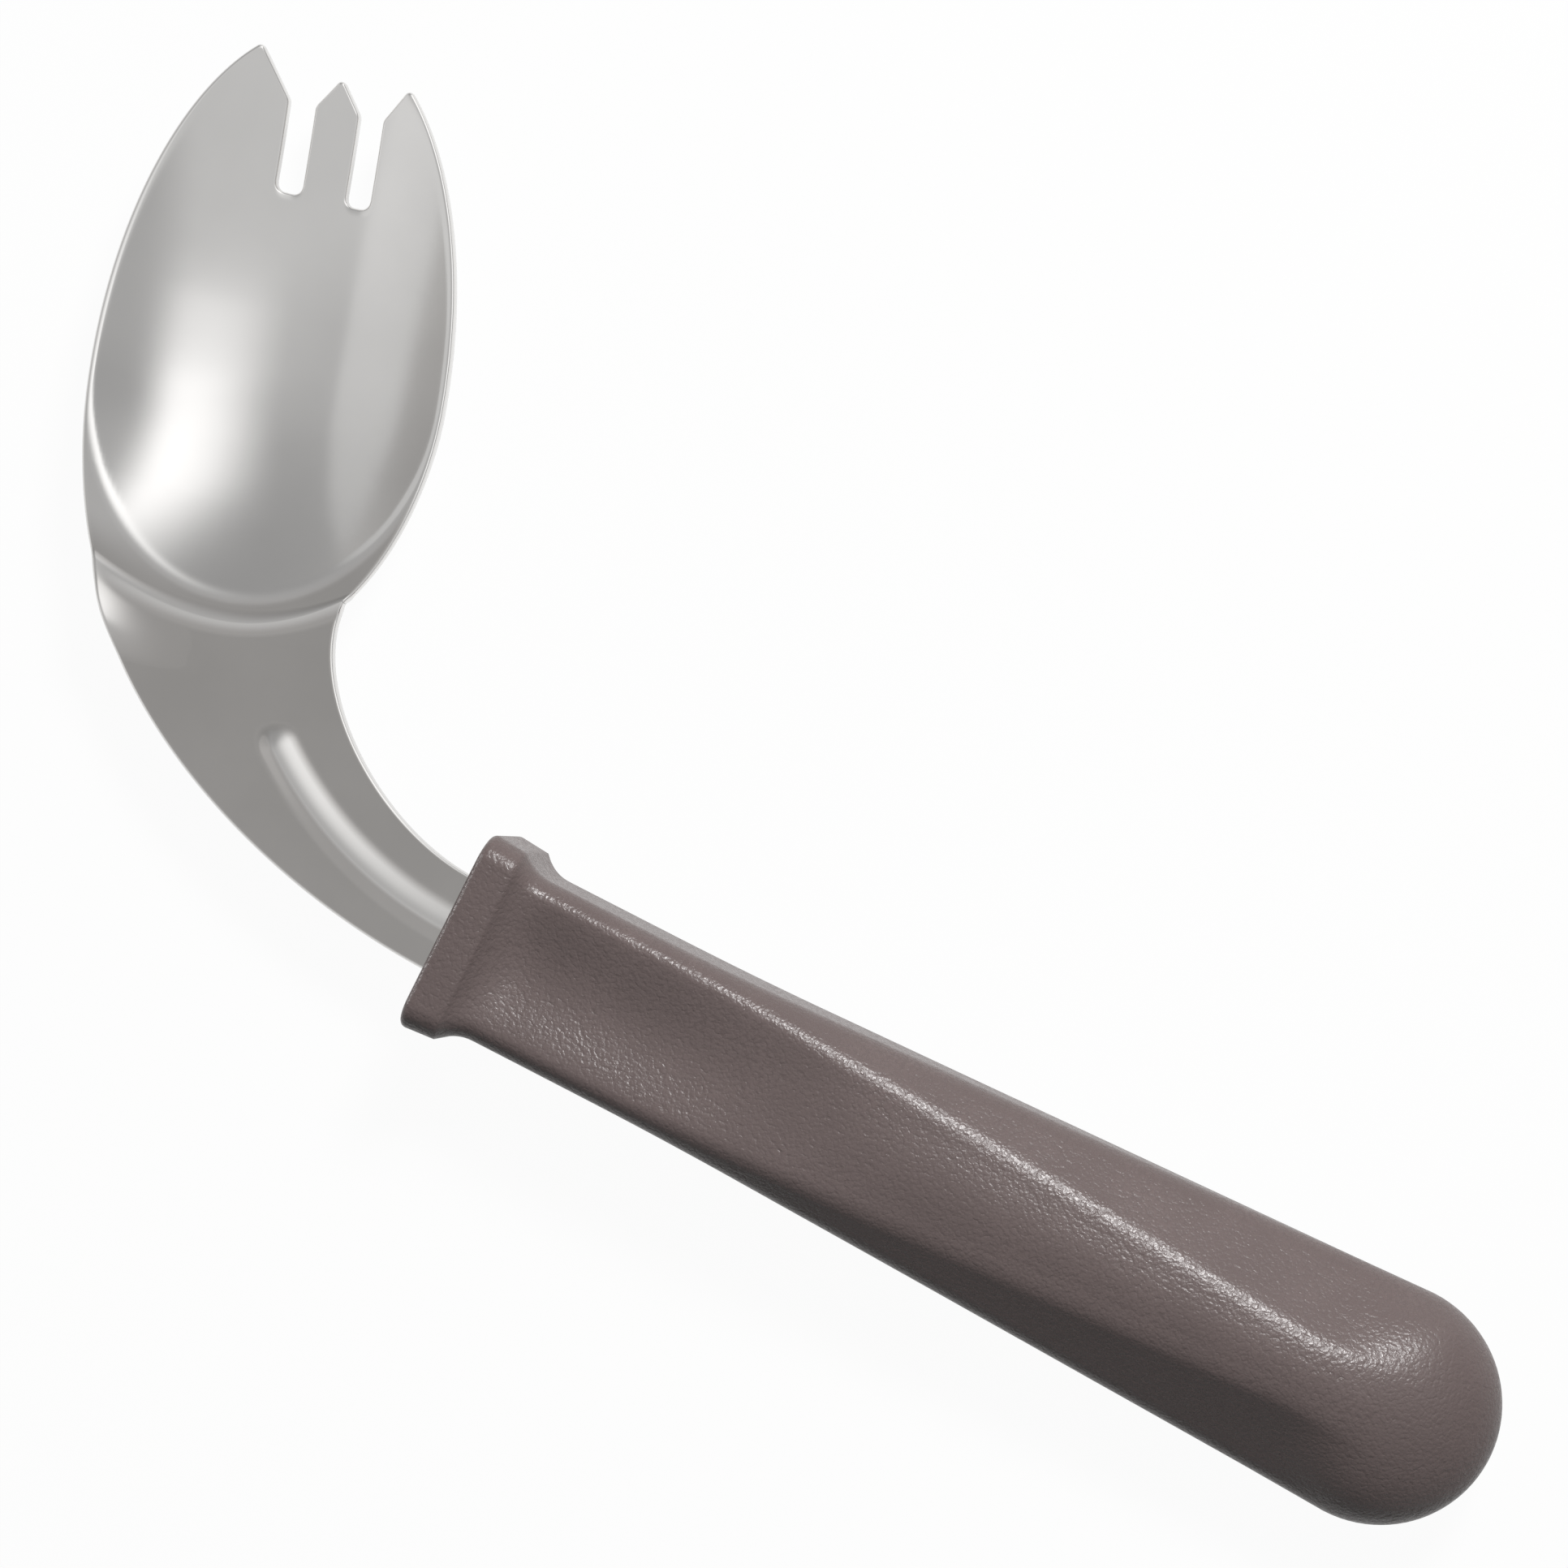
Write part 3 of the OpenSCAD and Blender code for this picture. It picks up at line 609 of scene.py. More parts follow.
def blade_grid(form, plan):
    """The blade's upper side in rows from tang to tips: points, shares of satin finish and painted shade, and
    the slots' row.
    """
    bowl, neck = form.bowl, form.neck
    s = plan.s
    bead_stop = neck.bead_inside + neck.bead_w
    u = np.concatenate([
        [form.tang_len, form.tang_len - neck.tang_chamfer],
        np.linspace(form.tang_len - neck.tang_chamfer, bead_stop, form.TANG_ROWS)[1:],
        np.linspace(bead_stop, 0, form.BEAD_ROWS)[1:-1],
    ])
    tang = form.tang_point(*np.broadcast_arrays(u[:, None], s))
    neck_rows = np.linspace(1, 0, form.NECK_ROWS)[:-1, None] ** form.NECK_CROWD
    neck_at = np.broadcast_arrays(neck_rows, s)
    neck_part = form.neck_point(*neck_at)
    # The bowl's rows start on the bowed heel and end on the row across the slots' ends
    middle_a = plan.a.mean()
    base = np.concatenate([
        np.linspace(-bowl.heel_back, -bowl.hollow_back / 2, form.HEEL_ROWS)[:-1],
        np.linspace(-bowl.hollow_back / 2, middle_a, form.BOWL_ROWS),
    ])[:, None]
    follow = smooth((base - bowl.bow_end) / (middle_a - bowl.bow_end))
    a, s_all = np.broadcast_arrays(base + follow * (plan.a - middle_a), s)
    bowl_plan = form.bowl_plan(a, s_all)
    bowl_part = form.bowl_point(bowl_plan, a, s_all)
    along, across = plan.rows(crowded(form.TINE_ROWS, form.TINE_CROWD)[1:])
    tine_part = form.bowl_point(form.head_point(along, across), along, np.zeros_like(across))
    # Shares of satin finish and painted shade, block by block
    satin_and_shade = [
        np.ones(tang.shape[:2]),
        form.neck_satin_and_shade(*neck_at),
        form.bowl_satin_and_shade(bowl_plan, a, s_all),
        np.zeros(across.shape),
    ]
    top = np.concatenate([tang, neck_part, bowl_part, tine_part])
    return top, np.concatenate(satin_and_shade), len(top) - len(tine_part) - 1


def slopes_up(top, slots_at, strips):
    """How upright each point's surface is: the height of the unit normal, patch by patch."""
    up = np.ones(top.shape[:2])

    def fill(rows, cols):
        patch = top[rows, cols]
        normal = np.cross(np.gradient(patch, axis=1), np.gradient(patch, axis=0))
        up[rows, cols] = np.abs(unit(normal)[..., 2])

    for strip in strips[::2]:
        fill(slice(slots_at, None), strip)
    fill(slice(0, slots_at + 1), slice(None))
    return up


def sheet_mesh(top, slots_at, strips, sheet_t, edge):
    """Points and quads of the closed sheet below the grid, and each point's place in the grid.

    The underside lies below each point by the thickness over the normal's height. The edge is a rounded
    strip: at each height between the two sides it stands out by edge times the root of 1 - v^4, where v
    runs from 1 at the top to -1 below.
    """
    rows, cols = top.shape[:2]
    under = top.copy()
    under[..., 2] -= sheet_t / slopes_up(top, slots_at, strips)
    index = np.arange(rows * cols).reshape(rows, cols)
    # Slot columns have no sheet ahead of the slots' ends
    sheet = np.ones((rows - 1, cols - 1), bool)
    for strip in strips[1::2]:
        sheet[slots_at:, strip.start - 1:strip.stop] = False
    corners = np.stack([index[:-1, :-1], index[:-1, 1:], index[1:, 1:], index[1:, :-1]], -1)[sheet]
    loop = edge_loop(index, slots_at, strips)
    count = rows * cols
    plan = top.reshape(-1, 3)[loop, :2]
    before, after = unit(plan - np.roll(plan, 1, 0)), unit(np.roll(plan, -1, 0) - plan)
    n1, n2 = np.stack([-before[:, 1], before[:, 0]], -1), np.stack([-after[:, 1], after[:, 0]], -1)
    outwards = (n1 + n2) / np.maximum(1 + (n1 * n2).sum(-1, keepdims=True), MITRE_LEAST)
    v = np.cos(np.linspace(0, math.pi, EDGE_LAYERS)[1:-1])[:, None, None]
    upper, lower = top.reshape(-1, 3)[loop], under.reshape(-1, 3)[loop]
    strip_pts = (upper + lower) / 2 + v * (upper - lower) / 2
    strip_pts[..., :2] += edge * np.sqrt(1 - v ** 4) * outwards
    laps = len(loop)
    middle = 2 * count + np.arange(len(v) * laps).reshape(len(v), laps)
    layers = np.concatenate([loop[None], middle, count + loop[None]])
    turn = np.roll(layers, -1, 1)
    around = np.stack([layers[:-1], turn[:-1], turn[1:], layers[1:]], -1).reshape(-1, 4)
    points = np.concatenate([top.reshape(-1, 3), under.reshape(-1, 3), strip_pts.reshape(-1, 3)])
    place = np.concatenate([np.arange(count)] * 2 + [loop] * len(v))
    return points, np.concatenate([corners, count + corners[:, ::-1], around]), place


def edge_loop(index, slots_at, strips):
    """Places of the grid once round the sheet's edge, in and out of the slots."""
    c1, c2 = strips[0].stop - 1, strips[2].start
    c3, c4 = strips[2].stop - 1, strips[4].start
    last = index.shape[0] - 1
    legs = [
        index[:last, 0],
        index[last, :c1],
        index[slots_at + 1:, c1][::-1],
        index[slots_at, c1:c2],
        index[slots_at:last, c2],
        index[last, c2:c3],
        index[slots_at + 1:, c3][::-1],
        index[slots_at, c3:c4],
        index[slots_at:last, c4],
        index[last, c4:-1],
        index[1:, -1][::-1],
        index[0, 1:][::-1],
    ]
    return np.concatenate(legs)


class GripForm:
    """The moulded grip as rings of an eight-sided section with rounded corners."""

    CORNER_PTS = 8
    RUN_PTS = 18
    DOME_RINGS = 34
    BODY_RINGS = 60
    HOLLOW_RINGS = 24
    BAND_RINGS = 6
    EDGE_RINGS = 9
    FACE_RINGS = 7
    SOCKET_RINGS = 12
    MOUTH = 0.2 * MM

    def __init__(self, grip, bowl, neck, lo, hi, tang_len):
        self.grip, self.bowl, self.neck = grip, bowl, neck
        self.front_x, self.length = lo[0], hi[0] - lo[0]
        self.butt_w, self.thick = hi[1] - lo[1], hi[2] - lo[2]
        self.axis_z, self.tang_len = (lo[2] + hi[2]) / 2, tang_len
        self.dome_mid = self.length - self.butt_w / 2
        self.dome_top = self.length - grip.dome_len
        self.body_front = grip.collar_len + max(grip.run_side, grip.run_top)

    def section(self, half_w, half_t, flat, side, ridge_r):
        """Eight rounded corners, walked anticlockwise, with places on the runs between them."""
        x = np.stack([half_w, half_w, flat, -flat, -half_w, -half_w, -flat, flat], -1)
        y = np.stack([-side, side, half_t, half_t, side, -side, -half_t, -half_t], -1)
        p = np.stack([x, y], -1)
        side_r = np.full_like(half_w, self.grip.side_r)
        radius = np.stack([side_r, side_r, ridge_r, ridge_r] * 2, -1)
        fillet = fillets(np.roll(p, 1, -2), p, np.roll(p, -1, -2), radius, self.CORNER_PTS)
        share = (np.arange(1, self.RUN_PTS + 1) / (self.RUN_PTS + 1))[:, None]
        run = mix(fillet[..., -1:, :], np.roll(fillet, -1, -3)[..., :1, :], share)
        return np.concatenate([fillet, run], -2).reshape(*p.shape[:-2], -1, 2)

    def ring(self, u, inset):
        """Rings at the distances u: collar, hollow behind it, tapering body, and a dome that turns oval.

        The flat top and underside are dished behind the collar and crowned towards the butt.
        """
        grip = self.grip

        def ramp(end):
            run = np.minimum(u, end) - grip.taper_start
            return soft_ramp(run, grip.taper_soft) / (end - grip.taper_start)

        def rounded(start):
            return np.sqrt(np.clip(1 - (np.maximum(0, u - start) / (self.length - start)) ** 2, 0, 1))

        def hollow(run, steep):
            return 1 - (1 - np.clip((u - grip.collar_len) / run, 0, 1)) ** steep

        body_w = mix(grip.waist_w, self.butt_w, ramp(self.dome_mid))
        along = np.clip((u - self.body_front) / (self.dome_top - self.body_front), 0, 1)
        body_t = mix(grip.waist_t, self.thick, along)
        band_w = grip.collar_w + grip.flare * (0.5 - np.clip(u / grip.collar_len, 0, 1))
        width = mix(band_w, body_w, hollow(grip.run_side, grip.side_steep))
        height = mix(self.thick, body_t, hollow(grip.run_top, grip.top_steep))
        half_w = width / 2 * rounded(self.dome_mid) - inset
        half_t = height / 2 * rounded(self.dome_top) - inset
        flat = half_w * mix(grip.waist_flat, grip.butt_flat, ramp(self.dome_top)) / body_w
        side = half_t * mix(grip.waist_side, grip.butt_side, ramp(self.dome_top)) / body_t
        turned = smooth((u - grip.dish_end) / (grip.crown_start - grip.dish_end))
        bow = flat * mix(-grip.dish, grip.crown, turned) * smooth((u - grip.collar_len) / grip.run_top)
        ridge_r = mix(grip.ridge_r, grip.butt_ridge_r, turned)
        p = self.section(half_w, half_t - np.maximum(0, bow), flat, side, ridge_r)
        p[..., 1] += np.sign(p[..., 1]) * bow[:, None] * hump(p[..., 0] / flat[:, None])
        fade = smooth((u - self.dome_top) / (grip.dome_fade * grip.dome_len))[:, None]
        size = np.hypot(p[..., 0] / half_w[:, None], p[..., 1] / half_t[:, None])
        p = p * mix(1, 1 / size, fade)[..., None]
        return self.place(u, p)

    def place(self, u, p):
        """Sections p, given across and up from the grip's axis, set at the distances u."""
        x = np.broadcast_to((self.front_x + u)[:, None], p.shape[:2])
        return np.stack([x, p[..., 0], self.axis_z + p[..., 1]], -1)

    def socket(self, u):
        """Rings of the socket round the tang: its section, with an arch over the bead."""
        grip, bowl, neck = self.grip, self.bowl, self.neck
        half = tang_half(neck, self.tang_len, u) + bowl.edge + grip.gap
        half_t = np.full_like(u, bowl.sheet_t / 2 + grip.gap)
        p = self.section(half, half_t, half - grip.gap, half_t - grip.gap, np.full_like(u, grip.gap))
        room = 1 - smooth((u - neck.bead_inside) / neck.bead_w)[:, None]
        inwards = p[..., 0] + neck.bead_out
        share = np.where(inwards > 0, neck.bead_inner, 1 - neck.bead_inner)
        arch = neck.bead_h * hump(inwards / (neck.bead_w * share + grip.gap)) * room
        p[..., 1] += np.where(p[..., 1] > 0, arch, 0)
        return self.place(u, p)

    def rings(self):
        """All rings from the butt to the collar, over the front face and into the socket."""
        grip, neck = self.grip, self.neck
        turn = np.linspace(math.pi / 2, 0, self.DOME_RINGS)[1:]
        edge = np.linspace(math.pi / 2, 0, self.EDGE_RINGS)
        dome = self.dome_top + grip.dome_len * np.sin(turn)
        body = np.linspace(self.dome_top, self.body_front, self.BODY_RINGS)[1:-1]
        hollow = np.linspace(self.body_front, grip.collar_len, self.HOLLOW_RINGS)
        band = np.linspace(grip.collar_len, grip.collar_r, self.BAND_RINGS)[1:-1]
        u = np.concatenate([dome, body, hollow, band, grip.collar_r * (1 - np.cos(edge))])
        inset = np.concatenate([np.zeros(len(u) - len(edge)), grip.collar_r * (1 - np.sin(edge))])
        outside = self.ring(u, inset)
        deep = np.concatenate([
            [0],
            np.linspace(self.MOUTH, neck.bead_inside + 2 * neck.bead_w, self.SOCKET_RINGS),
            [self.tang_len - neck.tang_chamfer, self.tang_len + self.bowl.edge + grip.gap],
        ])
        inside = self.socket(deep)
        face = mix(outside[-1], inside[0], np.linspace(0, 1, self.FACE_RINGS)[1:-1, None, None])
        return np.concatenate([outside, face, inside])


def tube_mesh(rings, start, end):
    """Points and faces of rings joined one after another and closed to a point at both ends."""
    count, around = rings.shape[:2]
    index = np.arange(count * around).reshape(count, around)
    turn = np.roll(index, -1, 1)
    quads = np.stack([index[:-1], index[1:], turn[1:], turn[:-1]], -1).reshape(-1, 4)
    first, last = count * around, count * around + 1
    caps = np.concatenate([
        np.stack([np.full(around, first), index[0], turn[0]], -1),
        np.stack([np.full(around, last), turn[-1], index[-1]], -1),
    ])
    return np.concatenate([rings.reshape(-1, 3), [start, end]]), quads, caps


def make_piece(name, points, faces, material, node):
    """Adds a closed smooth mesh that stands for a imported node. Places that no face uses are left out."""
    used = np.unique(np.concatenate([f.ravel() for f in faces]))
    place = np.full(len(points), -1)
    place[used] = np.arange(len(used))
    loops = np.concatenate([place[f].ravel() for f in faces]).astype(np.int32)
    sizes = np.concatenate([np.full(len(f), f.shape[1]) for f in faces])
    mesh = bpy.data.meshes.new(name)
    mesh.vertices.add(len(used))
    mesh.vertices.foreach_set("co", points[used].astype(np.float32).ravel())
    mesh.loops.add(len(loops))
    mesh.loops.foreach_set("vertex_index", loops)
    mesh.polygons.add(len(sizes))
    starts = np.cumsum(sizes) - sizes
    mesh.polygons.foreach_set("loop_start", starts.astype(np.int32))
    mesh.update(calc_edges=True)
    if mesh.validate():
        raise RuntimeError(f"{name}: the mesh had faces that can't be used")
    mesh.shade_smooth()
    mesh.materials.append(material)
    obj = bpy.data.objects.new(name, mesh)
    bpy.context.scene.collection.objects.link(obj)
    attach(obj, BODY)
    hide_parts(node)
    return obj, used


class Value:
    """An output of a shader node. Sums, differences and products of such outputs become Math nodes."""

    def __init__(self, graph, socket):
        self.graph, self.socket = graph, socket

    def math(self, operation, *values):
        """A Math node's output for an operation on one or two values."""
        return self.graph.get("ShaderNodeMath", 0, {"operation": operation}, dict(enumerate(values)))

    def __add__(self, other):
        return self.math("ADD", self, other)

    def __radd__(self, other):
        return self.math("ADD", other, self)

    def __sub__(self, other):
        return self.math("SUBTRACT", self, other)

    def __rsub__(self, other):
        return self.math("SUBTRACT", other, self)

    def __mul__(self, other):
        return self.math("MULTIPLY", self, other)

    def __rmul__(self, other):
        return self.math("MULTIPLY", other, self)

    def most(self, other):
        """The greater of two values."""
        return self.math("MAXIMUM", self, other)

    def step(self, low, high):
        """A smooth step from 0 at low to 1 at high."""
        return self.graph.get(
            "ShaderNodeMapRange", "Result", {"interpolation_type": "SMOOTHSTEP"},
            {"Value": self, "From Min": low, "From Max": high})


class Graph:
    """A node tree that is filled from code."""

    def __init__(self, tree):
        self.tree = tree
        tree.nodes.clear()

    def node(self, kind, settings=None, inputs=None):
        """Adds one node: settings first, then a value or a link for each named input."""
        made = self.tree.nodes.new(kind)
        for name, value in (settings or {}).items():
            setattr(made, name, value)
        for name, value in (inputs or {}).items():
            if isinstance(value, Value):
                value = value.socket
            if isinstance(value, bpy.types.NodeSocket):
                self.tree.links.new(value, made.inputs[name])
            else:
                made.inputs[name].default_value = value
        return made

    def get(self, kind, output, settings=None, inputs=None):
        """Adds one node and gives one of its outputs."""
        return Value(self, self.node(kind, settings, inputs).outputs[output])

    def blend(self, share, one, two):
        """A colour between two colours."""
        return self.get("ShaderNodeMix", 2, {"data_type": "RGBA"}, {0: share, 6: one, 7: two})

    def ray_kinds(self):
        """Whether a ray comes from the camera, and whether from a glossy surface."""
        path = self.node("ShaderNodeLightPath")
        return Value(self, path.outputs["Is Camera Ray"]), Value(self, path.outputs["Is Glossy Ray"])

    def noise(self, place, scale, detail, output="Fac"):
        """Soft noise with so many waves per metre."""
        return self.get("ShaderNodeTexNoise", output, None, {
            "Vector": place, "Scale": scale, "Detail": detail})

    def clouded(self, cloud, colour, spread):
        """A colour that gets a little darker and lighter with the clouds."""
        return self.blend(cloud.step(0.3, 0.7), shade(colour, 1 - spread), shade(colour, 1 + spread))

    def close(self, shader, kind="ShaderNodeOutputMaterial"):
        """Links a shader to the tree's output."""
        self.node(kind, None, {"Surface": shader.outputs[0]})


def new_material(name):
    """A material and its emptied node tree."""
    material = bpy.data.materials.new(name)
    material.use_nodes = True
    return material, Graph(material.node_tree)


def shade(colour, factor):
    """A written colour times a factor, with an alpha of 1."""
    return (*(c * factor for c in colour), 1.0)


def steel_material(finish):
    """Steel with a polished hollow, a satin neck darkened with painted shade, soft polishing clouds and a cut
    edge brightened as a painted highlight.
    """
    material, g = new_material("polished_steel")
    place = g.get("ShaderNodeTexCoord", "Object")
    cloud = g.noise(place, finish.steel_clouds, 4)
    fine = g.noise(place, finish.steel_fine, 3)
    edge = g.get("ShaderNodeAttribute", "Fac", {"attribute_name": "cut_edge"})
    satin_and_shade = g.get("ShaderNodeAttribute", "Fac", {"attribute_name": "satin_and_shade"})
    bright = g.clouded(cloud, finish.steel, 0.02)
    # The satin neck's colour is darkened as painted shade
    dark = g.clouded(cloud, finish.satin_and_shade, 0.03)
    # The cut edge's brighter colour is a painted highlight
    colour = g.blend(edge, g.blend(satin_and_shade, bright, dark), shade(finish.steel, 1.1))
    rough = finish.steel_rough + 0.06 * satin_and_shade + 0.04 * (cloud - 0.5) + 0.03 * (fine - 0.5)
    g.close(g.node("ShaderNodeBsdfPrincipled", None, {
        "Base Color": colour, "Metallic": 1.0, "Roughness": rough}))
    return material


def grip_material(finish):
    """Moulded plastic: a grain of rounded cells, with duller valleys between them that are darkened as
    painted shade.
    """
    material, g = new_material("grained_plastic")
    place = g.get("ShaderNodeTexCoord", "Object")
    cells = 1 / finish.grain
    wave = g.noise(place, 0.8 * cells, 2, "Color")
    bent = g.get("ShaderNodeMix", 1, {"data_type": "VECTOR"}, {0: finish.grain_bend, 4: place, 5: wave})
    grain = g.get("ShaderNodeTexVoronoi", "Distance", {"feature": "SMOOTH_F1"}, {
        "Vector": bent, "Scale": cells, "Smoothness": 0.6})
    pebble = g.noise(place, 1.7 * cells, 2)
    cloud = g.noise(place, finish.grip_clouds, 5)
    height = 1.0 - 1.2 * grain * grain + 0.35 * pebble
    # The valleys get painted shade in their colour and a duller gloss
    valley_shade_and_dull = height.step(1.1, 0.7)
    colour = g.blend(valley_shade_and_dull, g.clouded(cloud, finish.grip, 0.06), shade(finish.grip, 0.92))
    rough = finish.grip_rough + 0.1 * valley_shade_and_dull + 0.06 * (cloud - 0.5)
    bump = g.get("ShaderNodeBump", "Normal", None, {
        "Strength": 1.0, "Distance": finish.grain_h, "Height": height})
    g.close(g.node("ShaderNodeBsdfPrincipled", None, {
        "Base Color": colour, "Roughness": rough, "Specular IOR Level": finish.grip_shine, "Normal": bump}))
    return material


def floor_material(stage):
    """A pale floor that shows white in the picture and in the steel, with its shadow kept."""
    material, g = new_material("pale_floor")
    seen, shine = g.ray_kinds()
    white_share = stage.floor_white * seen.most(stage.floor_gloss * shine)
    plain = g.node("ShaderNodeBsdfDiffuse", None, {"Color": shade(stage.floor_colour, 1)})
    white = g.node("ShaderNodeEmission", None, {"Color": (1.0, 1.0, 1.0, 1.0), "Strength": 1.0})
    g.close(g.node("ShaderNodeMixShader", None, {
        0: white_share, 1: plain.outputs[0], 2: white.outputs[0]}))
    return material


def picture_axes(stage):
    """The picture's right, up and back in the row frame."""
    back = Vector((math.tan(stage.tilt_x), math.tan(stage.tilt_y), 1)).normalized()
    flat = Vector((math.cos(stage.turn), math.sin(stage.turn), 0))
    right = (flat - flat.dot(back) * back).normalized()
    return right, back.cross(right), back


def lit_world(stage):
    """Soft surroundings: white in the picture, a dim sky on dull pieces, and a paler room in the steel."""
    world = bpy.data.worlds.new("studio")
    bpy.context.scene.world = world
    world.use_nodes = True
    g = Graph(world.node_tree)
    right, up, _ = picture_axes(stage)
    way = g.get("ShaderNodeTexCoord", "Generated")

    def towards(axis):
        return g.get(
            "ShaderNodeVectorMath", "Value", {"operation": "DOT_PRODUCT"}, {0: way, 1: tuple(axis)})

    aside, ahead, height = towards(right), towards(up), towards((0, 0, 1))
    sky = stage.sky * (0.6 + 0.4 * height.step(0.0, 0.7))
    # The room darkens towards the top of the picture
    base = stage.room - 0.11 * ahead.step(-0.25, 0.2) - 0.21 * (ahead - 0.05).most(0.0)
    # A soft window on the right, brighter towards its upper end
    opening = aside.step(-0.35, 0.6) * aside.step(0.82, 0.62) * ahead.step(-0.35, 0.05) * ahead.step(1.0, 0.6)
    window = opening * (stage.window + 0.2 * ahead.step(-0.05, 0.5))
    # A pale wall on the far left and a dim corner at the lower right
    wall = (aside - 0.19 * ahead).step(-0.77, -0.84)
    corner = aside.step(0.55, 0.8) * ahead.step(0.4, -0.1)
    room = stage.gloss * (base + window + stage.wall * wall - stage.corner * corner)
    seen, shine = g.ray_kinds()
    level = sky + shine * (room - sky)
    strength = level + seen * (stage.backdrop - level)
    back = g.node("ShaderNodeBackground", None, {"Color": (1.0, 1.0, 1.0, 1.0), "Strength": strength})
    g.close(back, "ShaderNodeOutputWorld")


def add_panel(stage, name, place, size, power, receivers):
    """A soft lamp panel that faces the target and lights the dull pieces only."""
    _, up, _ = picture_axes(stage)
    place = Vector(place)
    way = (place - Vector(stage.target)).normalized()
    tall = (up - up.dot(way) * way).normalized()
    lamp = bpy.data.lights.new(name, "AREA")
    lamp.shape = "SQUARE"
    lamp.size = size
    lamp.energy = power
    obj = bpy.data.objects.new(name, lamp)
    obj.visible_camera = False
    bpy.context.scene.collection.objects.link(obj)
    obj.light_linking.receiver_collection = receivers
    turned = Matrix((tall.cross(way), tall, way)).transposed().to_4x4()
    obj.matrix_world = Matrix.Translation(place) @ turned


def add_camera(stage):
    """The photo's camera: nearly straight above, turned so that the handle runs down to the right."""
    right, up, back = picture_axes(stage)
    camera = bpy.data.cameras.new("photo_camera")
    camera.lens = stage.lens
    camera.sensor_width = 36.0
    camera.clip_start = 0.01
    obj = bpy.data.objects.new("photo_camera", camera)
    bpy.context.scene.collection.objects.link(obj)
    turned = Matrix((right, up, back)).transposed().to_4x4()
    obj.matrix_world = Matrix.Translation(Vector(stage.target) + back * stage.distance) @ turned
    bpy.context.scene.camera = obj


def frame_sizes():
    """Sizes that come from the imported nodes: the grip's box and the tang's length."""
    lo, hi = (np.array(p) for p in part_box("handle"))
    _, blade_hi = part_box("spork_blade")
    return lo, hi, blade_hi.x - lo[0]


class SPORK_OT_blade(bpy.types.Operator):
    """Adds the pressed steel blade"""

    bl_idname = "spork.blade"
    bl_label = "Add blade"

    def execute(self, context):
        scene = context.scene
        bowl = scene.spork_bowl
        lo, hi, reach = frame_sizes()
        tang_len = reach - bowl.edge
        axis_z = (lo[2] + hi[2]) / 2
        form = BladeForm(bowl, scene.spork_tines, scene.spork_neck, lo[0], axis_z, tang_len)
        plan = TinePlan(form)
        top, satin_and_shade, slots_at = blade_grid(form, plan)
        points, faces, place = sheet_mesh(top, slots_at, plan.strips, bowl.sheet_t, bowl.edge)
        is_edge = np.arange(len(points)) >= 2 * satin_and_shade.size
        steel = steel_material(scene.spork_finish)
        obj, used = make_piece("pressed_blade", points, [faces], steel, "spork_blade")
        # The satin share also carries the neck's painted shade
        for name, values in {"cut_edge": is_edge, "satin_and_shade": satin_and_shade.ravel()[place]}.items():
            made = obj.data.attributes.new(name, "FLOAT", "POINT")
            made.data.foreach_set("value", values[used].astype(np.float32))
        return {"FINISHED"}


class SPORK_OT_grip(bpy.types.Operator):
    """Adds the moulded grip with its collar and socket"""

    bl_idname = "spork.grip"
    bl_label = "Add grip"

    def execute(self, context):
        scene = context.scene
        grip, bowl = scene.spork_grip, scene.spork_bowl
        lo, hi, reach = frame_sizes()
        form = GripForm(grip, bowl, scene.spork_neck, lo, hi, reach - bowl.edge)
        rings = form.rings()
        butt = (hi[0], 0, form.axis_z)
        end = rings[-1].mean(0)
        points, quads, caps = tube_mesh(rings, butt, end)
        plastic = grip_material(scene.spork_finish)
        obj, _ = make_piece("moulded_grip", points, [quads, caps], plastic, "handle")
        obj.data.set_sharp_from_angle(angle=grip.sharp)
        return {"FINISHED"}


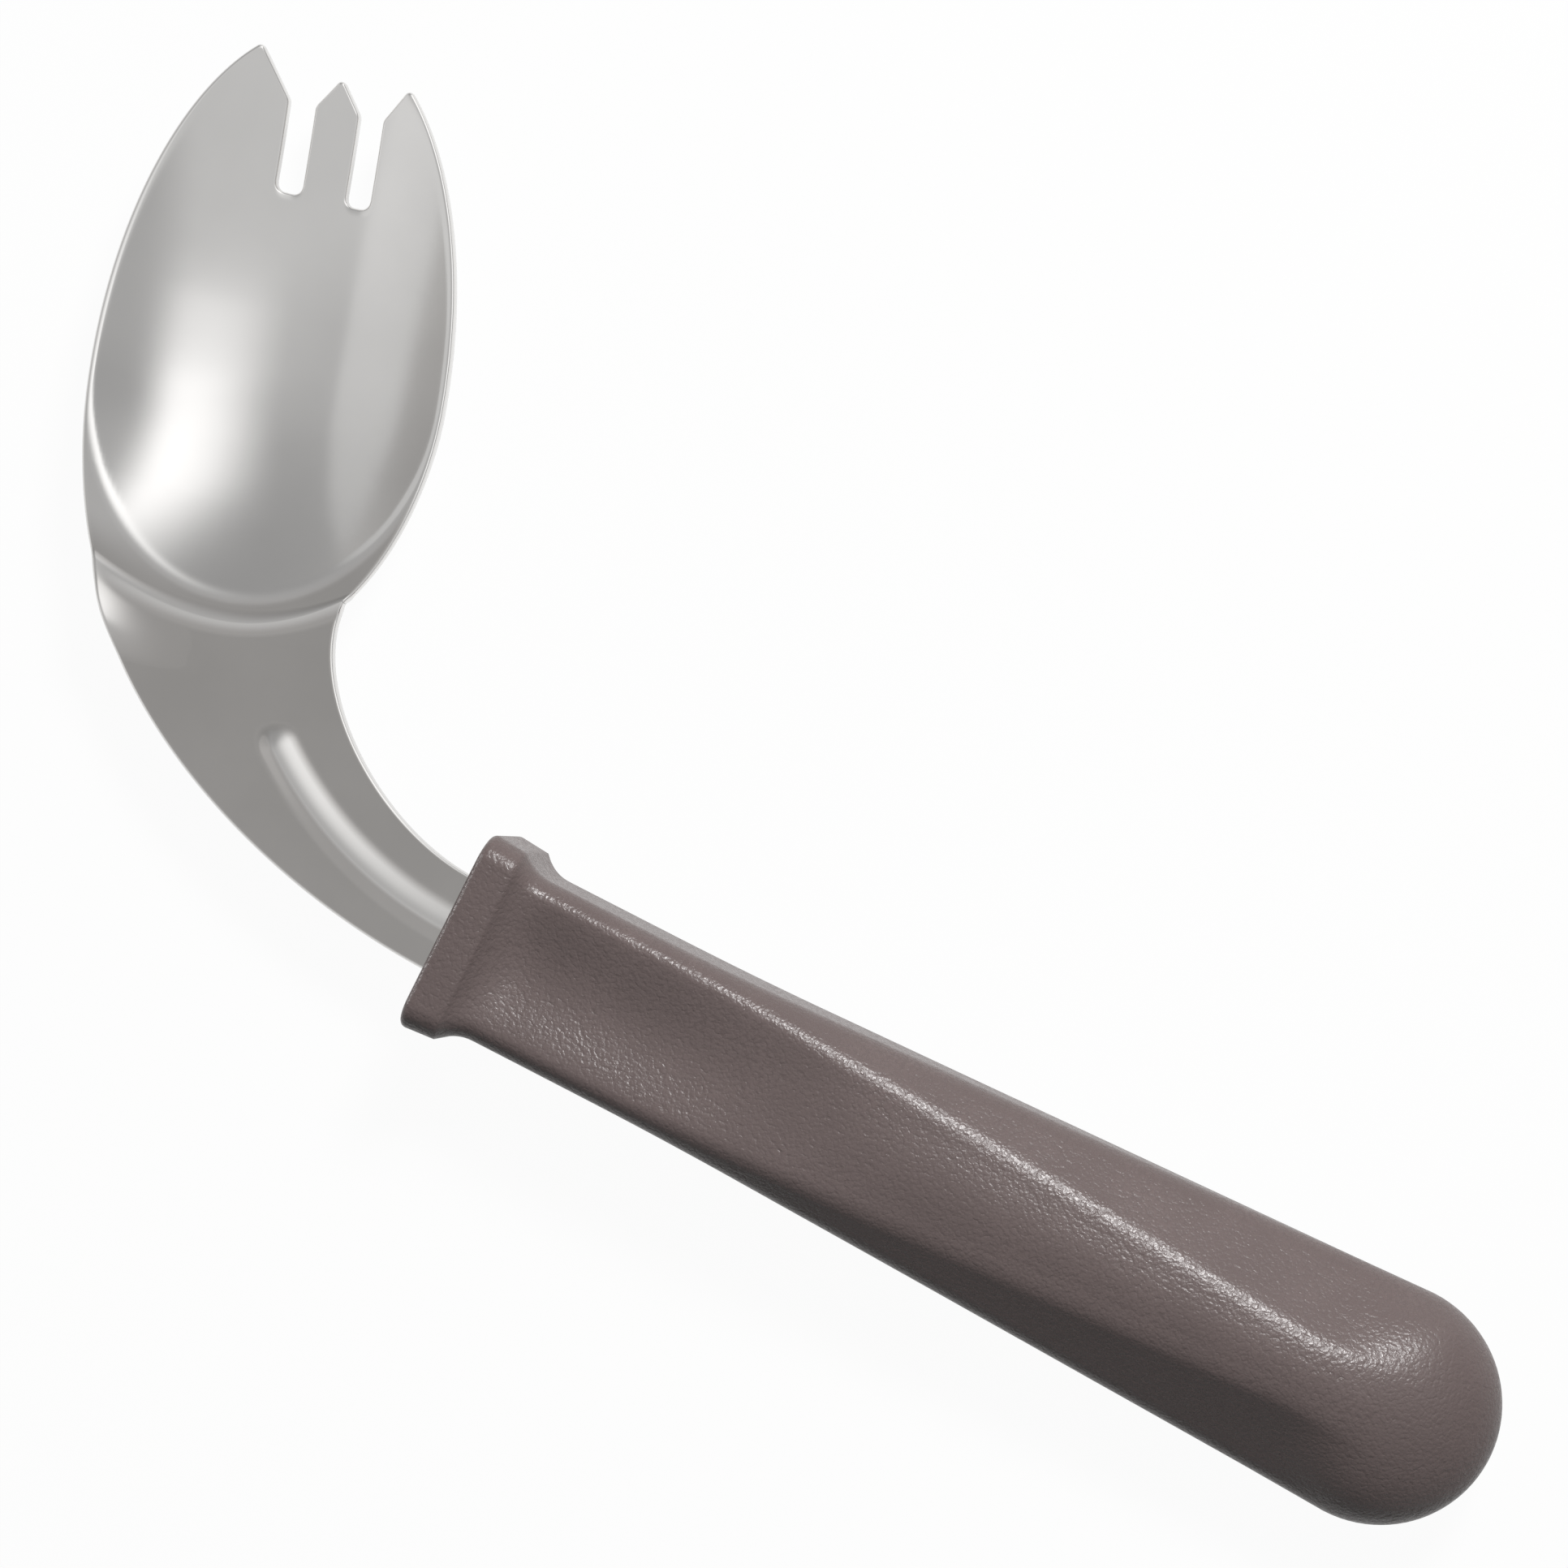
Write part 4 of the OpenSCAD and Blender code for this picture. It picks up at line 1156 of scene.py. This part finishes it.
class SPORK_OT_stage(bpy.types.Operator):
    """Adds floor, lamps, surroundings and camera"""

    bl_idname = "spork.stage"
    bl_label = "Add stage"

    def execute(self, context):
        stage = context.scene.spork_stage
        half, low = stage.floor_half, CAD_LO.z - stage.floor_gap
        mesh = bpy.data.meshes.new("floor")
        corners = [(-half, -half, low), (half, -half, low), (half, half, low), (-half, half, low)]
        mesh.from_pydata(corners, [], [(0, 1, 2, 3)])
        mesh.materials.append(floor_material(stage))
        floor = bpy.data.objects.new("floor", mesh)
        context.scene.collection.objects.link(floor)
        dull = bpy.data.collections.new("dull_pieces")
        dull.objects.link(bpy.data.objects["moulded_grip"])
        dull.objects.link(floor)
        add_panel(stage, "key_panel", stage.key_at, stage.key_size, stage.key, dull)
        add_panel(stage, "fill_panel", stage.fill_at, stage.fill_size, stage.fill, dull)
        lit_world(stage)
        add_camera(stage)
        context.scene.view_settings.view_transform = "Standard"
        return {"FINISHED"}


OPERATORS = (SPORK_OT_blade, SPORK_OT_grip, SPORK_OT_stage)


class SPORK_PT_sidebar(bpy.types.Panel):
    """Buttons for each piece of the spork"""

    bl_idname = "SPORK_PT_sidebar"
    bl_label = "Angled spork"
    bl_space_type = "VIEW_3D"
    bl_region_type = "UI"
    bl_category = "Spork"

    def draw(self, context):
        for operator in OPERATORS:
            self.layout.operator(operator.bl_idname)


GROUPS = {
    "spork_bowl": BowlSizes,
    "spork_tines": TineSizes,
    "spork_neck": NeckSizes,
    "spork_grip": GripSizes,
    "spork_finish": FinishSettings,
    "spork_stage": StageSettings,
}


def register():
    for cls in (*GROUPS.values(), *OPERATORS, SPORK_PT_sidebar):
        bpy.utils.register_class(cls)
    for name, group in GROUPS.items():
        setattr(bpy.types.Scene, name, PointerProperty(type=group))


def unregister():
    for name in GROUPS:
        delattr(bpy.types.Scene, name)
    for cls in reversed((*GROUPS.values(), *OPERATORS, SPORK_PT_sidebar)):
        bpy.utils.unregister_class(cls)


def main():
    register()
    bpy.ops.spork.blade()
    bpy.ops.spork.grip()
    bpy.ops.spork.stage()


if __name__ == "__main__":
    main()
